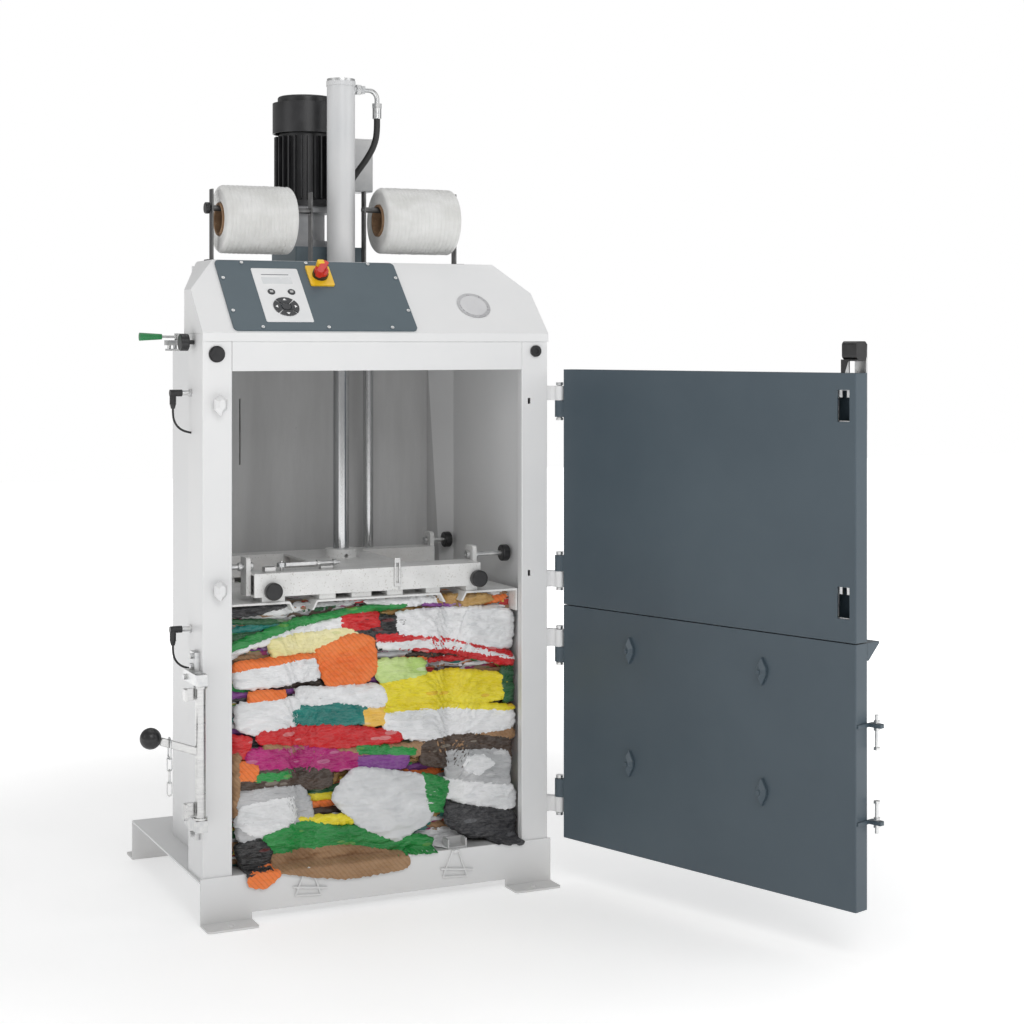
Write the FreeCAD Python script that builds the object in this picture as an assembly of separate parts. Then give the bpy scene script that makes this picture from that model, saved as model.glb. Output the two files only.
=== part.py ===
import FreeCAD, Part
import math, os

# Vertical recycling baler. Lengths in millimetres, +Z up.
# Working coordinates: X from the outer face of the left front post, Y from
# the front plane of the posts towards the back, Z up from the floor.
# OFF moves everything so that the origin is on the floor, at the centre of
# the four floor anchor holes.
os.makedirs("parts", exist_ok=True)

# ---- driving dimensions -------------------------------------------------
W = 870.0            # over the two front posts
D = 632.6            # depth of the base bridge
LEDGE = 100.3        # top of the base bridge
POST_W = 69.4        # front width of a post
POST_D = 120.0       # side depth of a post
OPEN_TOP = 1258.9    # underside of the header strip
BEND = 1347.0        # where the hood starts to lean back
HOOD_TOP = 1521.0
WALL_IN = 57.0       # inner face of the chamber side wall
FOLD_Y = 452.0       # where the side walls turn in towards the back wall
BACK_Y = 540.0       # front face of the back wall
BACK_X = 97.0        # corner of the back wall
T = 4.0              # chamber sheet
HX, HY = 899.0, -10.0   # hinge line of both doors
DOOR_ANG = 108.54    # how far the doors stand open
DOOR_L = 876.8
DOOR_T = 41.8
DOOR_R = 880.2       # hinge edge of a closed door
DOOR_Y = -3.2        # inner face of a closed door
UZ0, UZ1 = 684.5, 1259.0     # upper door, bottom and top
LZ0, LZ1 = 113.0, 682.0      # lower door
ROD_X, ROD_Y = 435.0, 283.0  # ram axis
ROD_R = 20.0
CYL_R = 35.0
CYL_TOP = 1982.0
TRAY_Z = 722.0       # top of the platen trays
TRAY_T = 5.0
LIFT = 400.0         # ram travel above the bale
LOCK_X, LOCK_Y = -13.5, -30.0  # lock shaft axis
ANCHOR_R = 7.0
OFF = FreeCAD.Vector(-W / 2, -316.3, 0)

V = FreeCAD.Vector


def box(x0, x1, y0, y1, z0, z1):
    return Part.makeBox(x1 - x0, y1 - y0, z1 - z0, V(x0, y0, z0))


def cyl(r, p, d, h):
    return Part.makeCylinder(r, h, V(*p), V(*d))


def ring(ro, ri, p, d, h):
    return cyl(ro, p, d, h).cut(cyl(ri, (p[0] - d[0], p[1] - d[1], p[2] - d[2]), d, h + 2))


def poly(pts, d):
    w = Part.makePolygon([V(*p) for p in pts] + [V(*pts[0])])
    return Part.Face(w).extrude(V(*d))


def xy(pts, z0, z1):
    return poly([(x, y, z0) for x, y in pts], (0, 0, z1 - z0))


def xz(pts, y0, y1):
    return poly([(x, y0, z) for x, z in pts], (0, y1 - y0, 0))


def yz(pts, x0, x1):
    return poly([(x0, y, z) for y, z in pts], (x1 - x0, 0, 0))


def fuse(*s):
    r = s[0]
    for t in s[1:]:
        r = r.fuse(t)
    try:
        r = r.removeSplitter()
    except Exception:
        pass
    return r


def cut(a, *s):
    for t in s:
        a = a.cut(t)
    return a


def hexa(af, p, d, h):
    r = af / math.sqrt(3)
    z = V(*d)
    u = V(1, 0, 0) if abs(z.x) < 0.9 else V(0, 1, 0)
    v = z.cross(u)
    v.normalize()
    u = v.cross(z)
    c = V(*p)
    pts = [c + u * (r * math.cos(math.radians(60 * k))) + v * (r * math.sin(math.radians(60 * k))) for k in range(6)]
    return Part.Face(Part.makePolygon(pts + [pts[0]])).extrude(z * h)


def rnd(shape, r, pick):
    es = [e for e in shape.Edges if pick(e)]
    try:
        return shape.makeFillet(r, es) if es else shape
    except Exception:
        return shape


def along(e, ax):
    if e.Curve.TypeId != "Part::GeomLine":
        return False
    a, b = e.Vertexes[0].Point, e.Vertexes[-1].Point
    d = b - a
    n = d.Length
    return n > 0 and abs(abs(d[ax]) / n - 1) < 1e-6


def rot(s, ang, p=(0, 0, 0), ax=(0, 0, 1)):
    s = s.copy()
    s.rotate(V(*p), V(*ax), ang)
    return s


def comp(*s):
    out = []
    for t in s:
        out += t.Solids
    return Part.makeCompound(out)


PARTS = {}


def save(name, s):
    s = s.copy()
    s.translate(OFF)
    PARTS[name] = s
    s.exportStep("parts/" + name + ".step")
    bad = [i for i, q in enumerate(s.Solids) if not q.isValid()]
    b = s.BoundBox
    print("%-24s solids %2d vol %10.0f z %7.1f..%7.1f %s" % (name, len(s.Solids), s.Volume, b.ZMin, b.ZMax, "BAD" if bad else ""))


# ---- base bridge: folded plate on four feet ------------------------------
bx0, bx1 = -6.0, 876.0
base = fuse(
    box(bx0, bx1, -5, D, LEDGE - 5, LEDGE),
    box(bx0, bx1, -5, 0, 20, 108),
    box(bx0, bx1, D - 5, D, 20, LEDGE),
)
for x0 in (bx0, bx1 - 121):
    base = fuse(base, box(x0, x0 + 121, -5, 0, 0, 25), box(x0, x0 + 121, D - 5, D, 0, 25))
    tab_f = rnd(box(x0, x0 + 121, -65, 0, 0, 5), 8, lambda e: along(e, 2) and e.Vertexes[0].Point.y < -60)
    tab_r = rnd(box(x0, x0 + 121, D - 5, D + 60, 0, 5), 8, lambda e: along(e, 2) and e.Vertexes[0].Point.y > D + 50)
    base = fuse(base, tab_f, tab_r)
AX = (55.0, 815.0)
for x in AX:
    for y in (-38.0, D + 38.0):
        base = base.cut(cyl(ANCHOR_R, (x, y, -5), (0, 0, 1), 20))
save("base_frame", base)

# ---- front posts: folded channels -----------------------------------------
def post(mirror):
    p = fuse(
        box(0, POST_W, 0, T, LEDGE, BEND - 2),
        box(0, T, 0, POST_D, LEDGE, BEND - 2),
        box(0, WALL_IN - T - 0.5, POST_D - T, POST_D, LEDGE, BEND - 40),
        box(POST_W - T, POST_W, 0, 22, LEDGE + 9, OPEN_TOP + 2),
    )
    p = rnd(p, 2.5, lambda e: along(e, 2) and e.Vertexes[0].Point.y < 0.1 and (e.Vertexes[0].Point.x < 0.1 or e.Vertexes[0].Point.x > POST_W - 0.1))
    if mirror:
        p = p.mirror(V(W / 2, 0, 0), V(1, 0, 0))
    return p


CATCH = ((36.0, 1189.0), (36.0, 768.0))
pl = post(False)
for x, z in CATCH:
    pl = pl.cut(cyl(4.9, (x, -5, z), (0, 1, 0), 20))
pl = pl.cut(cyl(9, (33, -5, 1298), (0, 1, 0), 20)).cut(cyl(5.06, (-5, 72, 1325), (1, 0, 0), 20))
for z in (1208.0, 663.0):
    pl = pl.cut(cyl(6.2, (-5, 96, z), (1, 0, 0), 20))
save("left_post", pl)
pr_ = post(True)
for z in (1182.0, 761.0):
    pr_ = pr_.cut(box(817, 824, -5, 10, z - 7, z + 7))
pr_ = pr_.cut(cyl(9, (837, -5, 1304), (0, 1, 0), 20))
save("right_post", pr_)

# ---- press chamber ---------------------------------------------------------
def side_wall(mirror):
    a = [(WALL_IN - T, 5), (WALL_IN, 5), (WALL_IN, FOLD_Y), (BACK_X, BACK_Y - 0.5), (BACK_X - T * 1.2, BACK_Y - 0.5), (WALL_IN - T, FOLD_Y + 3)]
    s = xy(a, LEDGE, 1305)
    shelf = box(WALL_IN - 40, WALL_IN - T, POST_D + 2, 300, 1301, 1305)
    s = fuse(s, shelf)
    if mirror:
        s = s.mirror(V(W / 2, 0, 0), V(1, 0, 0))
    return s


lw = side_wall(False)
save("left_side_wall", lw)
save("right_side_wall", side_wall(True))
bw = box(BACK_X - 5, W - BACK_X + 5, BACK_Y, BACK_Y + T, LEDGE, 1305)
bw = bw.cut(box(250, 254, BACK_Y - 5, BACK_Y + 10, 1010, 1180)).cut(box(250, 254, BACK_Y - 5, BACK_Y + 10, 300, 480))
save("back_wall", bw)
fl = xy([(WALL_IN + 1, 0.5), (W - WALL_IN - 1, 0.5), (W - WALL_IN - 1, FOLD_Y), (W - BACK_X - 1, BACK_Y - 1), (BACK_X + 1, BACK_Y - 1), (WALL_IN + 1, FOLD_Y)], LEDGE, LEDGE + 8)
fl = fl.cut(box(0, POST_W + 0.3, -1, 22.5, LEDGE - 1, LEDGE + 20)).cut(box(W - POST_W - 0.3, W, -1, 22.5, LEDGE - 1, LEDGE + 20))
chan = box(605, 655, 2, 34, LEDGE + 8, LEDGE + 30).cut(box(609, 651, 1, 31, LEDGE + 12, LEDGE + 40))
fl = fuse(fl, chan)
save("chamber_floor", fl)
cr = xy([(WALL_IN + 0.5, 5), (W - WALL_IN - 0.5, 5), (W - WALL_IN - 0.5, FOLD_Y - 1), (W - BACK_X - 1, BACK_Y - 1), (BACK_X + 1, BACK_Y - 1), (WALL_IN + 0.5, FOLD_Y - 1)], 1262, 1274)
GX, GY = 578.0, 470.0
cr = cut(cr, box(0, POST_W + 0.5, 0, 23, 1200, 1300), box(W - POST_W - 0.5, W, 0, 23, 1200, 1300), cyl(21.5, (ROD_X, ROD_Y, 1250), (0, 0, 1), 60), cyl(15, (GX, GY, 1250), (0, 0, 1), 60))
save("crown_plate", cr)
hf = fuse(box(POST_W + 0.2, W - POST_W - 0.2, 0, T, OPEN_TOP, BEND - 2), box(POST_W + 0.2, W - POST_W - 0.2, 0, 4.9, OPEN_TOP, OPEN_TOP + 30))
save("header_fascia", hf)

# ---- hood -------------------------------------------------------------------
front_out = [(-1, BEND - 20), (-1, 1448), (72, HOOD_TOP), (798, HOOD_TOP), (871, 1448), (871, BEND - 20)]
HB = 575.0
side_out = [(-3.5, BEND - 20), (-3.5, BEND), (170.5, HOOD_TOP), (HB, HOOD_TOP), (HB, BEND - 20)]
plan = [(-2, -9), (872, -9), (872, 150), (802, 300), (735, 300), (735, HB + 2), (135, HB + 2), (135, 300), (68, 300), (-2, 150)]
plan_i = [(-3, -10), (873, -10), (873, 148), (800, 297), (732, 297), (732, HB + 2), (138, HB + 2), (138, 297), (70, 297), (-3, 148)]
hood = xz(front_out, -10, HB + 10).common(yz(side_out, -10, 880)).common(xy(plan, 1300, 1600))
t = 3.0
fi = [(-1 + t, BEND - 21), (-1 + t, 1448 - 1.2), (72 + 1.2, HOOD_TOP - t), (798 - 1.2, HOOD_TOP - t), (871 - t, 1448 - 1.2), (871 - t, BEND - 21)]
si = [(-3.5 + t, BEND - 21), (-3.5 + t, BEND - 1.2), (170.5 + 1.2, HOOD_TOP - t), (HB - t, HOOD_TOP - t), (HB - t, BEND - 21)]
hood = hood.cut(xz(fi, -12, HB + 12).common(yz(si, -12, 882)).common(xy(plan_i, 1290, 1610)))
hood = cut(hood, cyl(CYL_R + 1, (ROD_X, ROD_Y, 1400), (0, 0, 1), 200), cyl(15.5, (GX, GY, 1400), (0, 0, 1), 200))
hood = cut(hood, box(-2, 4.5, -0.2, HB - 4, BEND - 22, BEND - 1.8), box(865.5, 872, -0.2, HB - 4, BEND - 22, BEND - 1.8))
save("hood", hood)

# panel items lie on the leaning face: u along X, s up the slope, n outwards
SQ = math.sqrt(0.5)
P0 = V(0, -3.5, BEND)


def on_slope(s):
    """Moves a shape drawn with x = X, y = up the slope, z = outwards."""
    s = s.copy()
    m = FreeCAD.Matrix(1, 0, 0, 0, 0, SQ, -SQ, P0.y, 0, SQ, SQ, P0.z, 0, 0, 0, 1)
    return s.transformGeometry(m) if False else s.transformShape(m) or s


def slope(s):
    s = s.copy()
    s.rotate(V(0, 0, 0), V(1, 0, 0), 45)
    s.translate(V(0, P0.y, P0.z))
    return s


def rrect(x0, x1, y0, y1, z0, z1, r):
    return rnd(box(x0, x1, y0, y1, z0, z1), r, lambda e: along(e, 2))


scr = [(139, 232), (300, 234), (459, 234), (83, 178), (84, 68), (144, 14), (304, 14), (463, 14), (519, 186), (520, 72)]
panel = rrect(74, 527, 5, 241, 0.2, 4, 12)
for x, s in scr:
    panel = panel.cut(cyl(2.6, (x, s, -1), (0, 0, 1), 10))
KX0, KX1, KS0, KS1 = 157, 272, 31, 213
panel = panel.cut(cyl(11, (324, 186, -1), (0, 0, 1), 10))
keys_at = {"key_menu": (190.5, 132), "key_enter": (240, 132)}
RX, RS = 215.5, 81.5
holes = [cyl(9.4, (x, s, 2.4), (0, 0, 1), 10) for x, s in keys_at.values()] + [cyl(31.4, (RX, RS, 2.4), (0, 0, 1), 10)]
panel = cut(panel, *holes)
save("control_panel", slope(panel))
foil = cut(rrect(KX0, KX1, KS0, KS1, 4.05, 5.0, 4), *holes)
save("keypad_foil", slope(foil))
for n, (x, s) in keys_at.items():
    k = rnd(cyl(9.0, (x, s, 3.4), (0, 0, 1), 3.2), 0.6, lambda e: e.Curve.TypeId == "Part::GeomCircle" and e.Vertexes[0].Point.z > 6)
    save(n, slope(k))
# four arrow keys in a ring, and the round key in their middle
arcs = []
for k in range(4):
    a = ring(31.0, 13.0, (RX, RS, 3.4), (0, 0, 1), 3.2)
    c0 = 45 + 90 * (k - 1)
    wedge = poly([(RX, RS, 2), (RX + 60 * math.cos(math.radians(c0 + 4)), RS + 60 * math.sin(math.radians(c0 + 4)), 2), (RX + 60 * math.cos(math.radians(c0 + 86)), RS + 60 * math.sin(math.radians(c0 + 86)), 2)], (0, 0, 10))
    arcs.append(a.common(wedge))
hub = ring(31.0, 13.0, (RX, RS, 3.4), (0, 0, 1), 1.0)
save("arrow_keys", slope(fuse(hub, *arcs)))
save("key_stop", slope(rnd(cyl(11.0, (RX, RS, 3.4), (0, 0, 1), 3.4), 0.6, lambda e: e.Curve.TypeId == "Part::GeomCircle" and e.Vertexes[0].Point.z > 6)))
ss = []
for x, s in scr:
    ss.append(fuse(cyl(4.2, (x, s, 4), (0, 0, 1), 2.2), cyl(2.5, (x, s, 0.5), (0, 0, 1), 4)).cut(hexa(4, (x, s, 5), (0, 0, 1), 3)))
save("panel_screws", slope(comp(*ss)))
SWX, SWS = 324.0, 188.0
sb = fuse(rrect(SWX - 30, SWX + 30, SWS - 34, SWS + 34, 4.05, 8, 4), cyl(19, (SWX, SWS, 8), (0, 0, 1), 10))
sb = sb.cut(cyl(6, (SWX, SWS, 8), (0, 0, 1), 20))
save("switch_base", slope(sb))
kn = fuse(ring(17, 0.01, (SWX, SWS, 18.4), (0, 0, 1), 8), cyl(5.9, (SWX, SWS, 9), (0, 0, 1), 10), rrect(SWX - 8, SWX + 8, SWS - 24, SWS + 24, 20, 38, 6))
kn = fuse(cyl(17, (SWX, SWS, 18.4), (0, 0, 1), 8), cyl(5.9, (SWX, SWS, 9), (0, 0, 1), 10), rrect(SWX - 8, SWX + 8, SWS - 24, SWS + 24, 20, 38, 6))
kn = rot(kn, -35, (SWX, SWS, 0), (0, 0, 1))
save("switch_knob", slope(kn))

# ---- hydraulic cylinder, ram and guide ---------------------------------------
cy = fuse(cyl(CYL_R, (ROD_X, ROD_Y, 1275), (0, 0, 1), CYL_TOP - 1275), cyl(60, (ROD_X, ROD_Y, 1274.2), (0, 0, 1), 20), cyl(CYL_R + 1.5, (ROD_X, ROD_Y, CYL_TOP - 18), (0, 0, 1), 12))
cy = cut(cy, cyl(28, (ROD_X, ROD_Y, 1300), (0, 0, 1), CYL_TOP - 1300 - 14), cyl(ROD_R + 0.05, (ROD_X, ROD_Y, 1270), (0, 0, 1), 40))
cy = fuse(cy, cyl(9, (ROD_X + CYL_R - 4, ROD_Y, 1958), (1, 0, 0), 8)).cut(cyl(4, (ROD_X + 20, ROD_Y, 1958), (1, 0, 0), 40))
save("cylinder", cy)
COL0, COL1 = 776.0, 812.0
rod = fuse(cyl(ROD_R, (ROD_X, ROD_Y, COL0 + 2), (0, 0, 1), 1340 - COL0 - 2), cyl(27.9, (ROD_X, ROD_Y, 1335), (0, 0, 1), 30))
save("piston_rod", rod)
gr = cyl(13.5, (GX, GY, TRAY_Z + 4), (0, 0, 1), 1305 - TRAY_Z - 4)
save("guide_rod", gr)

# ---- platen ------------------------------------------------------------------
def tray(x0, x1, left_flange, right_flange, y0=24.0, y1=500.0):
    def prof(o):
        p = []
        if left_flange:
            p += [(x0 + o, 668), (x0 + o, TRAY_Z - o)]
        else:
            p += [(x0 + o * 1.1, 699), (x0 + 13 + o * 0.4, TRAY_Z - o)]
        if right_flange:
            p += [(x1 - o, TRAY_Z - o), (x1 - o, 668)]
        else:
            p += [(x1 - 13 - o * 0.4, TRAY_Z - o), (x1 - o * 1.1, 699)]
        return p
    a, b = prof(0), prof(TRAY_T)
    s = xz(a + b[::-1], y0, y1)
    return s


tr = [tray(66, 229, True, False), tray(269, 609, False, False), tray(649, 800, False, True)]
chop_l = xy([(0, 440), (66 - 5, 440), (66 + 30, 505), (66 + 30, 600), (0, 600)], 600, 800)
chop_r = xy([(870, 440), (800 + 5, 440), (800 - 30, 505), (800 - 30, 600), (870, 600)], 600, 800)
tr = [q.cut(chop_l).cut(chop_r) for q in tr]
save("platen_trays", comp(*tr))
BZ0, BZ1 = 735.0, 790.0


def hollow(x0, x1, y0, y1, z0, z1, t):
    return box(x0, x1, y0, y1, z0, z1).cut(box(x0 - 1, x1 + 1, y0 + t, y1 - t, z0 + t, z1 - t))


fb = hollow(129, 700, 22, 110, BZ0, BZ1, 5)
rb = hollow(120, 745, 420, 480, BZ0, BZ1, 5)
mid = hollow(0, 310, 110, 420, BZ0, BZ1, 5)
plate_mid = cut(box(330, 540, 109, 421, BZ1 - 6, BZ1), cyl(ROD_R + 4, (ROD_X, ROD_Y, 700), (0, 0, 1), 200))
web1 = box(345, 353, 109, 421, BZ0, BZ1 - 5)
web2 = box(517, 525, 109, 421, BZ0, BZ1 - 5)
beams = fuse(fb, rb, plate_mid, web1, web2)
collar = ring(40, ROD_R + 0.02, (ROD_X, ROD_Y, COL0), (0, 0, 1), COL1 - COL0).cut(cyl(5, (ROD_X, ROD_Y - 60, 796), (0, 1, 0), 36))
beams = fuse(beams, collar)
# spacer strips between trays and beams
for x0, x1 in ((150, 205), (290, 330), (370, 420), (460, 500), (560, 596), (665, 695)):
    beams = fuse(beams, box(x0, x1, 30, 100, TRAY_Z, BZ0 + 1))
for x0, x1 in ((150, 205), (300, 570), (665, 735)):
    beams = fuse(beams, box(x0, x1, 430, 470, TRAY_Z, BZ0 + 1))
beams = beams.cut(cyl(13.6, (GX, GY, TRAY_Z), (0, 0, 1), 200))
# ears that carry the side pads
for x0, y0 in ((118, 50), (700, 70)):
    beams = fuse(beams, rnd(box(x0, x0 + 11, y0, y0 + 44, BZ0 + 2, 826), 9, lambda e: along(e, 0) and e.Vertexes[0].Point.z > 820))
for x0, y0 in ((109, 432), (738, 432)):
    beams = fuse(beams, rnd(box(x0, x0 + 11, y0, y0 + 44, BZ0 + 2, 826), 9, lambda e: along(e, 0) and e.Vertexes[0].Point.z > 820))
# gusset behind the collar
beams = fuse(beams, yz([(300, 789), (415, 789), (415, 832), (385, 832)], 470, 478))
pads, studs = [], []


def pad(p, d, stud_len, nut_at):
    px, py, pz = p
    c = cyl(20.5, p, d, 20)
    c = rnd(c, 4, lambda e: e.Curve.TypeId == "Part::GeomCircle")
    pads.append(c)
    studs.append(cyl(5.8, p, (-d[0], -d[1], -d[2]), stud_len))
    for s_ in nut_at:
        studs.append(ring(10, 5.8, (px - d[0] * s_, py - d[1] * s_, pz - d[2] * s_), (-d[0], -d[1], -d[2]), 8))


pad((83, 72, 803), (-1, 0, 0), 58, (22, 47.5))
pad((785, 92, 803), (1, 0, 0), 92, (64, 85.5))
pad((90, 454, 803), (-1, 0, 0), 43, (7, 31.5))
pad((784, 454, 803), (1, 0, 0), 54, (26, 47.5))
pad((171, 19, 749), (0, -1, 0), 24, ())
pad((690, 19, 753), (0, -1, 0), 24, ())
PP = comp(*pads)
st = studs[0]
stud_c = [q for q in studs]
cutters = comp(*stud_c)
holes2 = [cyl(5.8, (20, 72, 803), (1, 0, 0), 200), cyl(5.8, (650, 92, 803), (1, 0, 0), 200), cyl(5.8, (20, 454, 803), (1, 0, 0), 200), cyl(5.8, (650, 454, 803), (1, 0, 0), 200), cyl(5.8, (171, -10, 749), (0, 1, 0), 60), cyl(5.8, (690, -10, 753), (0, 1, 0), 60)]
beams = cut(beams, *holes2)
beams = fuse(beams)
grp = [fuse(*studs[0:3]), fuse(*studs[3:6]), fuse(*studs[6:9]), fuse(*studs[9:12]), studs[12], studs[13]]
save("platen_beams", beams)
save("guide_pads", comp(PP, *grp))
clip = fuse(box(486, 489, 17, 21.8, 738, 812), box(474, 489, 17, 21.8, 744, 812).cut(box(478, 485, 10, 30, 752, 800)))
# bale strap release lever on the left of the beam
lv = fuse(box(150, 176, 150, 172, BZ1 + 0.1 - 55 + 55, BZ1 + 14))
lever_block = [fuse(box(160, 186, 40, 62, BZ1 + 0.2, BZ1 + 12)), box(300, 330, 48, 64, BZ1 + 0.2, BZ1 + 8)]
pin_l = cyl(4, (205, 55, BZ1 + 0.2), (0, 0, 1), 24)
lever_block.append(pin_l)
save("platen_fittings", comp(clip, *lever_block))
lev = fuse(ring(11, 4.3, (205, 55, BZ1 + 10), (0, 0, 1), 10), xy([(214, 50), (290, 52), (290, 58), (214, 60)], BZ1 + 11, BZ1 + 19), cyl(4.5, (289, 55, BZ1 + 15), (1, 0, 0), 60), cyl(8, (292, 55, BZ1 + 15), (1, 0, 0), 7), cyl(8, (332, 55, BZ1 + 15), (1, 0, 0), 7))
lev = lev.cut(cyl(4.3, (205, 55, BZ1 - 5), (0, 0, 1), 60))
save("strap_lever", lev)

# ---- doors: drawn closed, then swung open about the hinge line -----------------
def opened(s):
    return rot(s, DOOR_ANG, (HX, HY, 0), (0, 0, 1))


DL, DR = DOOR_R - DOOR_L, DOOR_R
YO = DOOR_Y - DOOR_T


def door_shell(z0, z1):
    s = box(DL, DR, YO, DOOR_Y, z0, z1)
    s = rnd(s, 3, lambda e: along(e, 2))
    s = s.cut(box(DL + 3, DR - 3, YO + 3, DOOR_Y - 3, z0 + 3, z1 - 3))
    return s


def lug(z0, z1):
    plate = xy([(DR - 3, -20), (DR - 3, -4), (DR + 4, -4), (HX, HY + 10), (HX + 3, HY - 8), (HX - 6, HY - 10.5), (DR + 2, -20)], z0, z1)
    s = fuse(plate, cyl(12, (HX, HY, z0), (0, 0, 1), z1 - z0))
    return s.cut(cyl(6.06, (HX, HY, z0 - 1), (0, 0, 1), z1 - z0 + 2))


def arm(z0, z1):
    p = xy([(W + 0.2, 3), (W + 0.2, 56), (W + 9, 56), (W + 9, 30), (HX + 8, HY + 8), (HX, HY), (HX - 11, HY + 3), (W + 11, 3)], z0, z1)
    s = fuse(p, cyl(12, (HX, HY, z0), (0, 0, 1), z1 - z0))
    return s.cut(cyl(6.06, (HX, HY, z0 - 1), (0, 0, 1), z1 - z0 + 2))


LUGS_U = ((1142.0, 1182.6), (763.4, 802.0))
LUGS_L = ((541.0, 577.6), (209.4, 253.0))
ARMS = ((1183.0, 1218.0), (724.0, 763.0), (578.0, 620.0), (172.0, 209.0))
ud = door_shell(UZ0, UZ1)
for z0, z1 in LUGS_U:
    ud = fuse(ud, lug(z0, z1))
for x, z in CATCH:
    ud = ud.cut(box(x - 16, x + 16, DOOR_Y - 3.5, DOOR_Y + 1, z - 34, z + 34))
ud = ud.cut(box(23, 49, -14.6, -6.4, UZ1 - 5, UZ1 + 5))
save("upper_door", opened(ud))
la = box(16, 56, -12.8, -7.8, 725, 1230)
for x, z in CATCH:
    la = cut(la, box(x - 16.5, x + 16.5, -20, 0, z - 32, z + 18), box(x - 6, x + 6, -20, 0, z + 17, z + 33))
gp = rnd(box(6, 44, -46.1, -8.6, 1288.05, 1327), 9, lambda e: along(e, 0))
la = fuse(la, box(26, 46, -12.8, -7.8, 1228, 1288), box(8, 46, -50.5, -7.8, 1284.5, 1288), box(8, 38, -50.5, -46.2, 1137, 1321))
save("upper_latch", opened(comp(la, gp)))
pc = []
for x, z in CATCH:
    head = xz([(x, z - 30), (x + 14, z - 16), (x + 14, z + 6), (x, z + 16), (x - 14, z + 6), (x - 14, z - 16)], -26, -14.6)
    tip = Part.makeLoft([Part.makePolygon([V(a, -26, b) for a, b in ((x, z - 30), (x + 14, z - 16), (x + 14, z + 6), (x, z + 16), (x - 14, z + 6), (x - 14, z - 16), (x, z - 30))]),
                         Part.makePolygon([V(a, -36, b) for a, b in ((x, z - 20), (x + 7, z - 12), (x + 7, z + 2), (x, z + 8), (x - 7, z + 2), (x - 7, z - 12), (x, z - 20))])], True, True)
    pc.append(fuse(head, tip, cyl(4.8, (x, -15, z), (0, 1, 0), 24), cyl(9, (x, 4.1, z), (0, 1, 0), 7)))
save("post_catches", comp(*pc))

ld = door_shell(LZ0, LZ1)
for z0, z1 in LUGS_L:
    ld = fuse(ld, lug(z0, z1))
lip = yz([(YO + 1, LZ1), (YO - 42, LZ1), (YO - 42, LZ1 - 4), (YO - 4, LZ1 - 38), (YO + 1, LZ1 - 38)], DL, DL + 120)
lip = lip.cut(yz([(YO + 1, LZ1 - 4), (YO - 34, LZ1 - 4), (YO - 4, LZ1 - 31), (YO + 1, LZ1 - 31)], DL + 4, DL + 116))
ld = fuse(ld, lip)
BX_, BY_ = LOCK_X + 0.5, LOCK_Y - 25.5
for z in (503.0, 296.0):
    ear = xy([(DL + 2, -8), (DL + 2, -44), (DL + 2, -64), (-24, -64), (-29, -59), (-29, -46.5), (0.4, -46.5), (0.4, -8)], z, z + 8)
    ear = ear.cut(cyl(4.1, (BX_, BY_, z - 2), (0, 0, 1), 20))
    ld = fuse(ld, ear)
save("lower_door", opened(ld))
lb = [fuse(cyl(4, (BX_, BY_, 460), (0, 0, 1), 70), hexa(13, (BX_, BY_, 455), (0, 0, 1), 5.5), hexa(13, (BX_, BY_, 511.1), (0, 0, 1), 6.5), hexa(13, (BX_, BY_, 496.4), (0, 0, 1), 6.5)),
      fuse(cyl(4, (BX_, BY_, 277), (0, 0, 1), 70), hexa(13, (BX_, BY_, 341), (0, 0, 1), 5.5), hexa(13, (BX_, BY_, 304.1), (0, 0, 1), 6.5), hexa(13, (BX_, BY_, 289.4), (0, 0, 1), 6.5))]
save("lock_bolts", opened(comp(*lb)))
cl = []
for x in (655.0, 255.0):
    for z in (596.0, 329.0):
        k = [(x, z - 31), (x + 13, z - 6), (x + 13, z + 8), (x, z + 31), (x - 13, z + 8), (x - 13, z - 6)]
        k2 = [(x, z - 14), (x + 7, z - 3), (x + 7, z + 5), (x, z + 18), (x - 7, z + 5), (x - 7, z - 3)]
        y0 = DOOR_Y + 0.1
        b = xz(k, y0, y0 + 7)
        lo = Part.makeLoft([Part.makePolygon([V(a, y0 + 7, b_) for a, b_ in k + [k[0]]]), Part.makePolygon([V(a, y0 + 17, b_) for a, b_ in k2 + [k2[0]]])], True, True)
        cl.append(fuse(b, lo, hexa(10, (x, y0 + 16.5, z), (0, 1, 0), 4)))
save("retaining_claws", opened(comp(*cl)))
pins = []
for a, b in ((1140.0, 1220.0), (722.0, 804.0), (539.0, 622.0), (170.0, 255.0)):
    pins.append(fuse(cyl(6, (HX, HY, a), (0, 0, 1), b - a), cyl(9, (HX, HY, b), (0, 0, 1), 7), cyl(9, (HX, HY, a - 6), (0, 0, 1), 6)))
save("hinge_arms", comp(*([arm(a, b) for a, b in ARMS] + pins)))

# ---- lock shaft with its brackets, lever, knob and chain -------------------------
br = []
for z0, z1, a0, a1 in ((552.0, 618.0, 552.0, 578.0), (192.0, 250.0, 224.0, 250.0)):
    s = fuse(box(-12, -0.2, 20, 64, z0, z1), box(-27.5, -0.6, -46, 20, a0, a1), box(-27.5, -12, 19, 60, a0, a1))
    s = s.cut(cyl(12.05, (LOCK_X, LOCK_Y, a0 - 5), (0, 0, 1), 60))
    for k in range(3):
        zz = z0 + 10 + k * (z1 - z0 - 20) / 2
        if a0 < zz < a1:
            s = fuse(s, hexa(12, (-27.4, 42, zz), (-1, 0, 0), 6))
        else:
            s = fuse(s, hexa(12, (-11.9, 42, zz), (-1, 0, 0), 6))
    br.append(s)
save("lock_brackets", comp(*br))
ls = cyl(12, (LOCK_X, LOCK_Y, 226), (0, 0, 1), 350)
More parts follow.
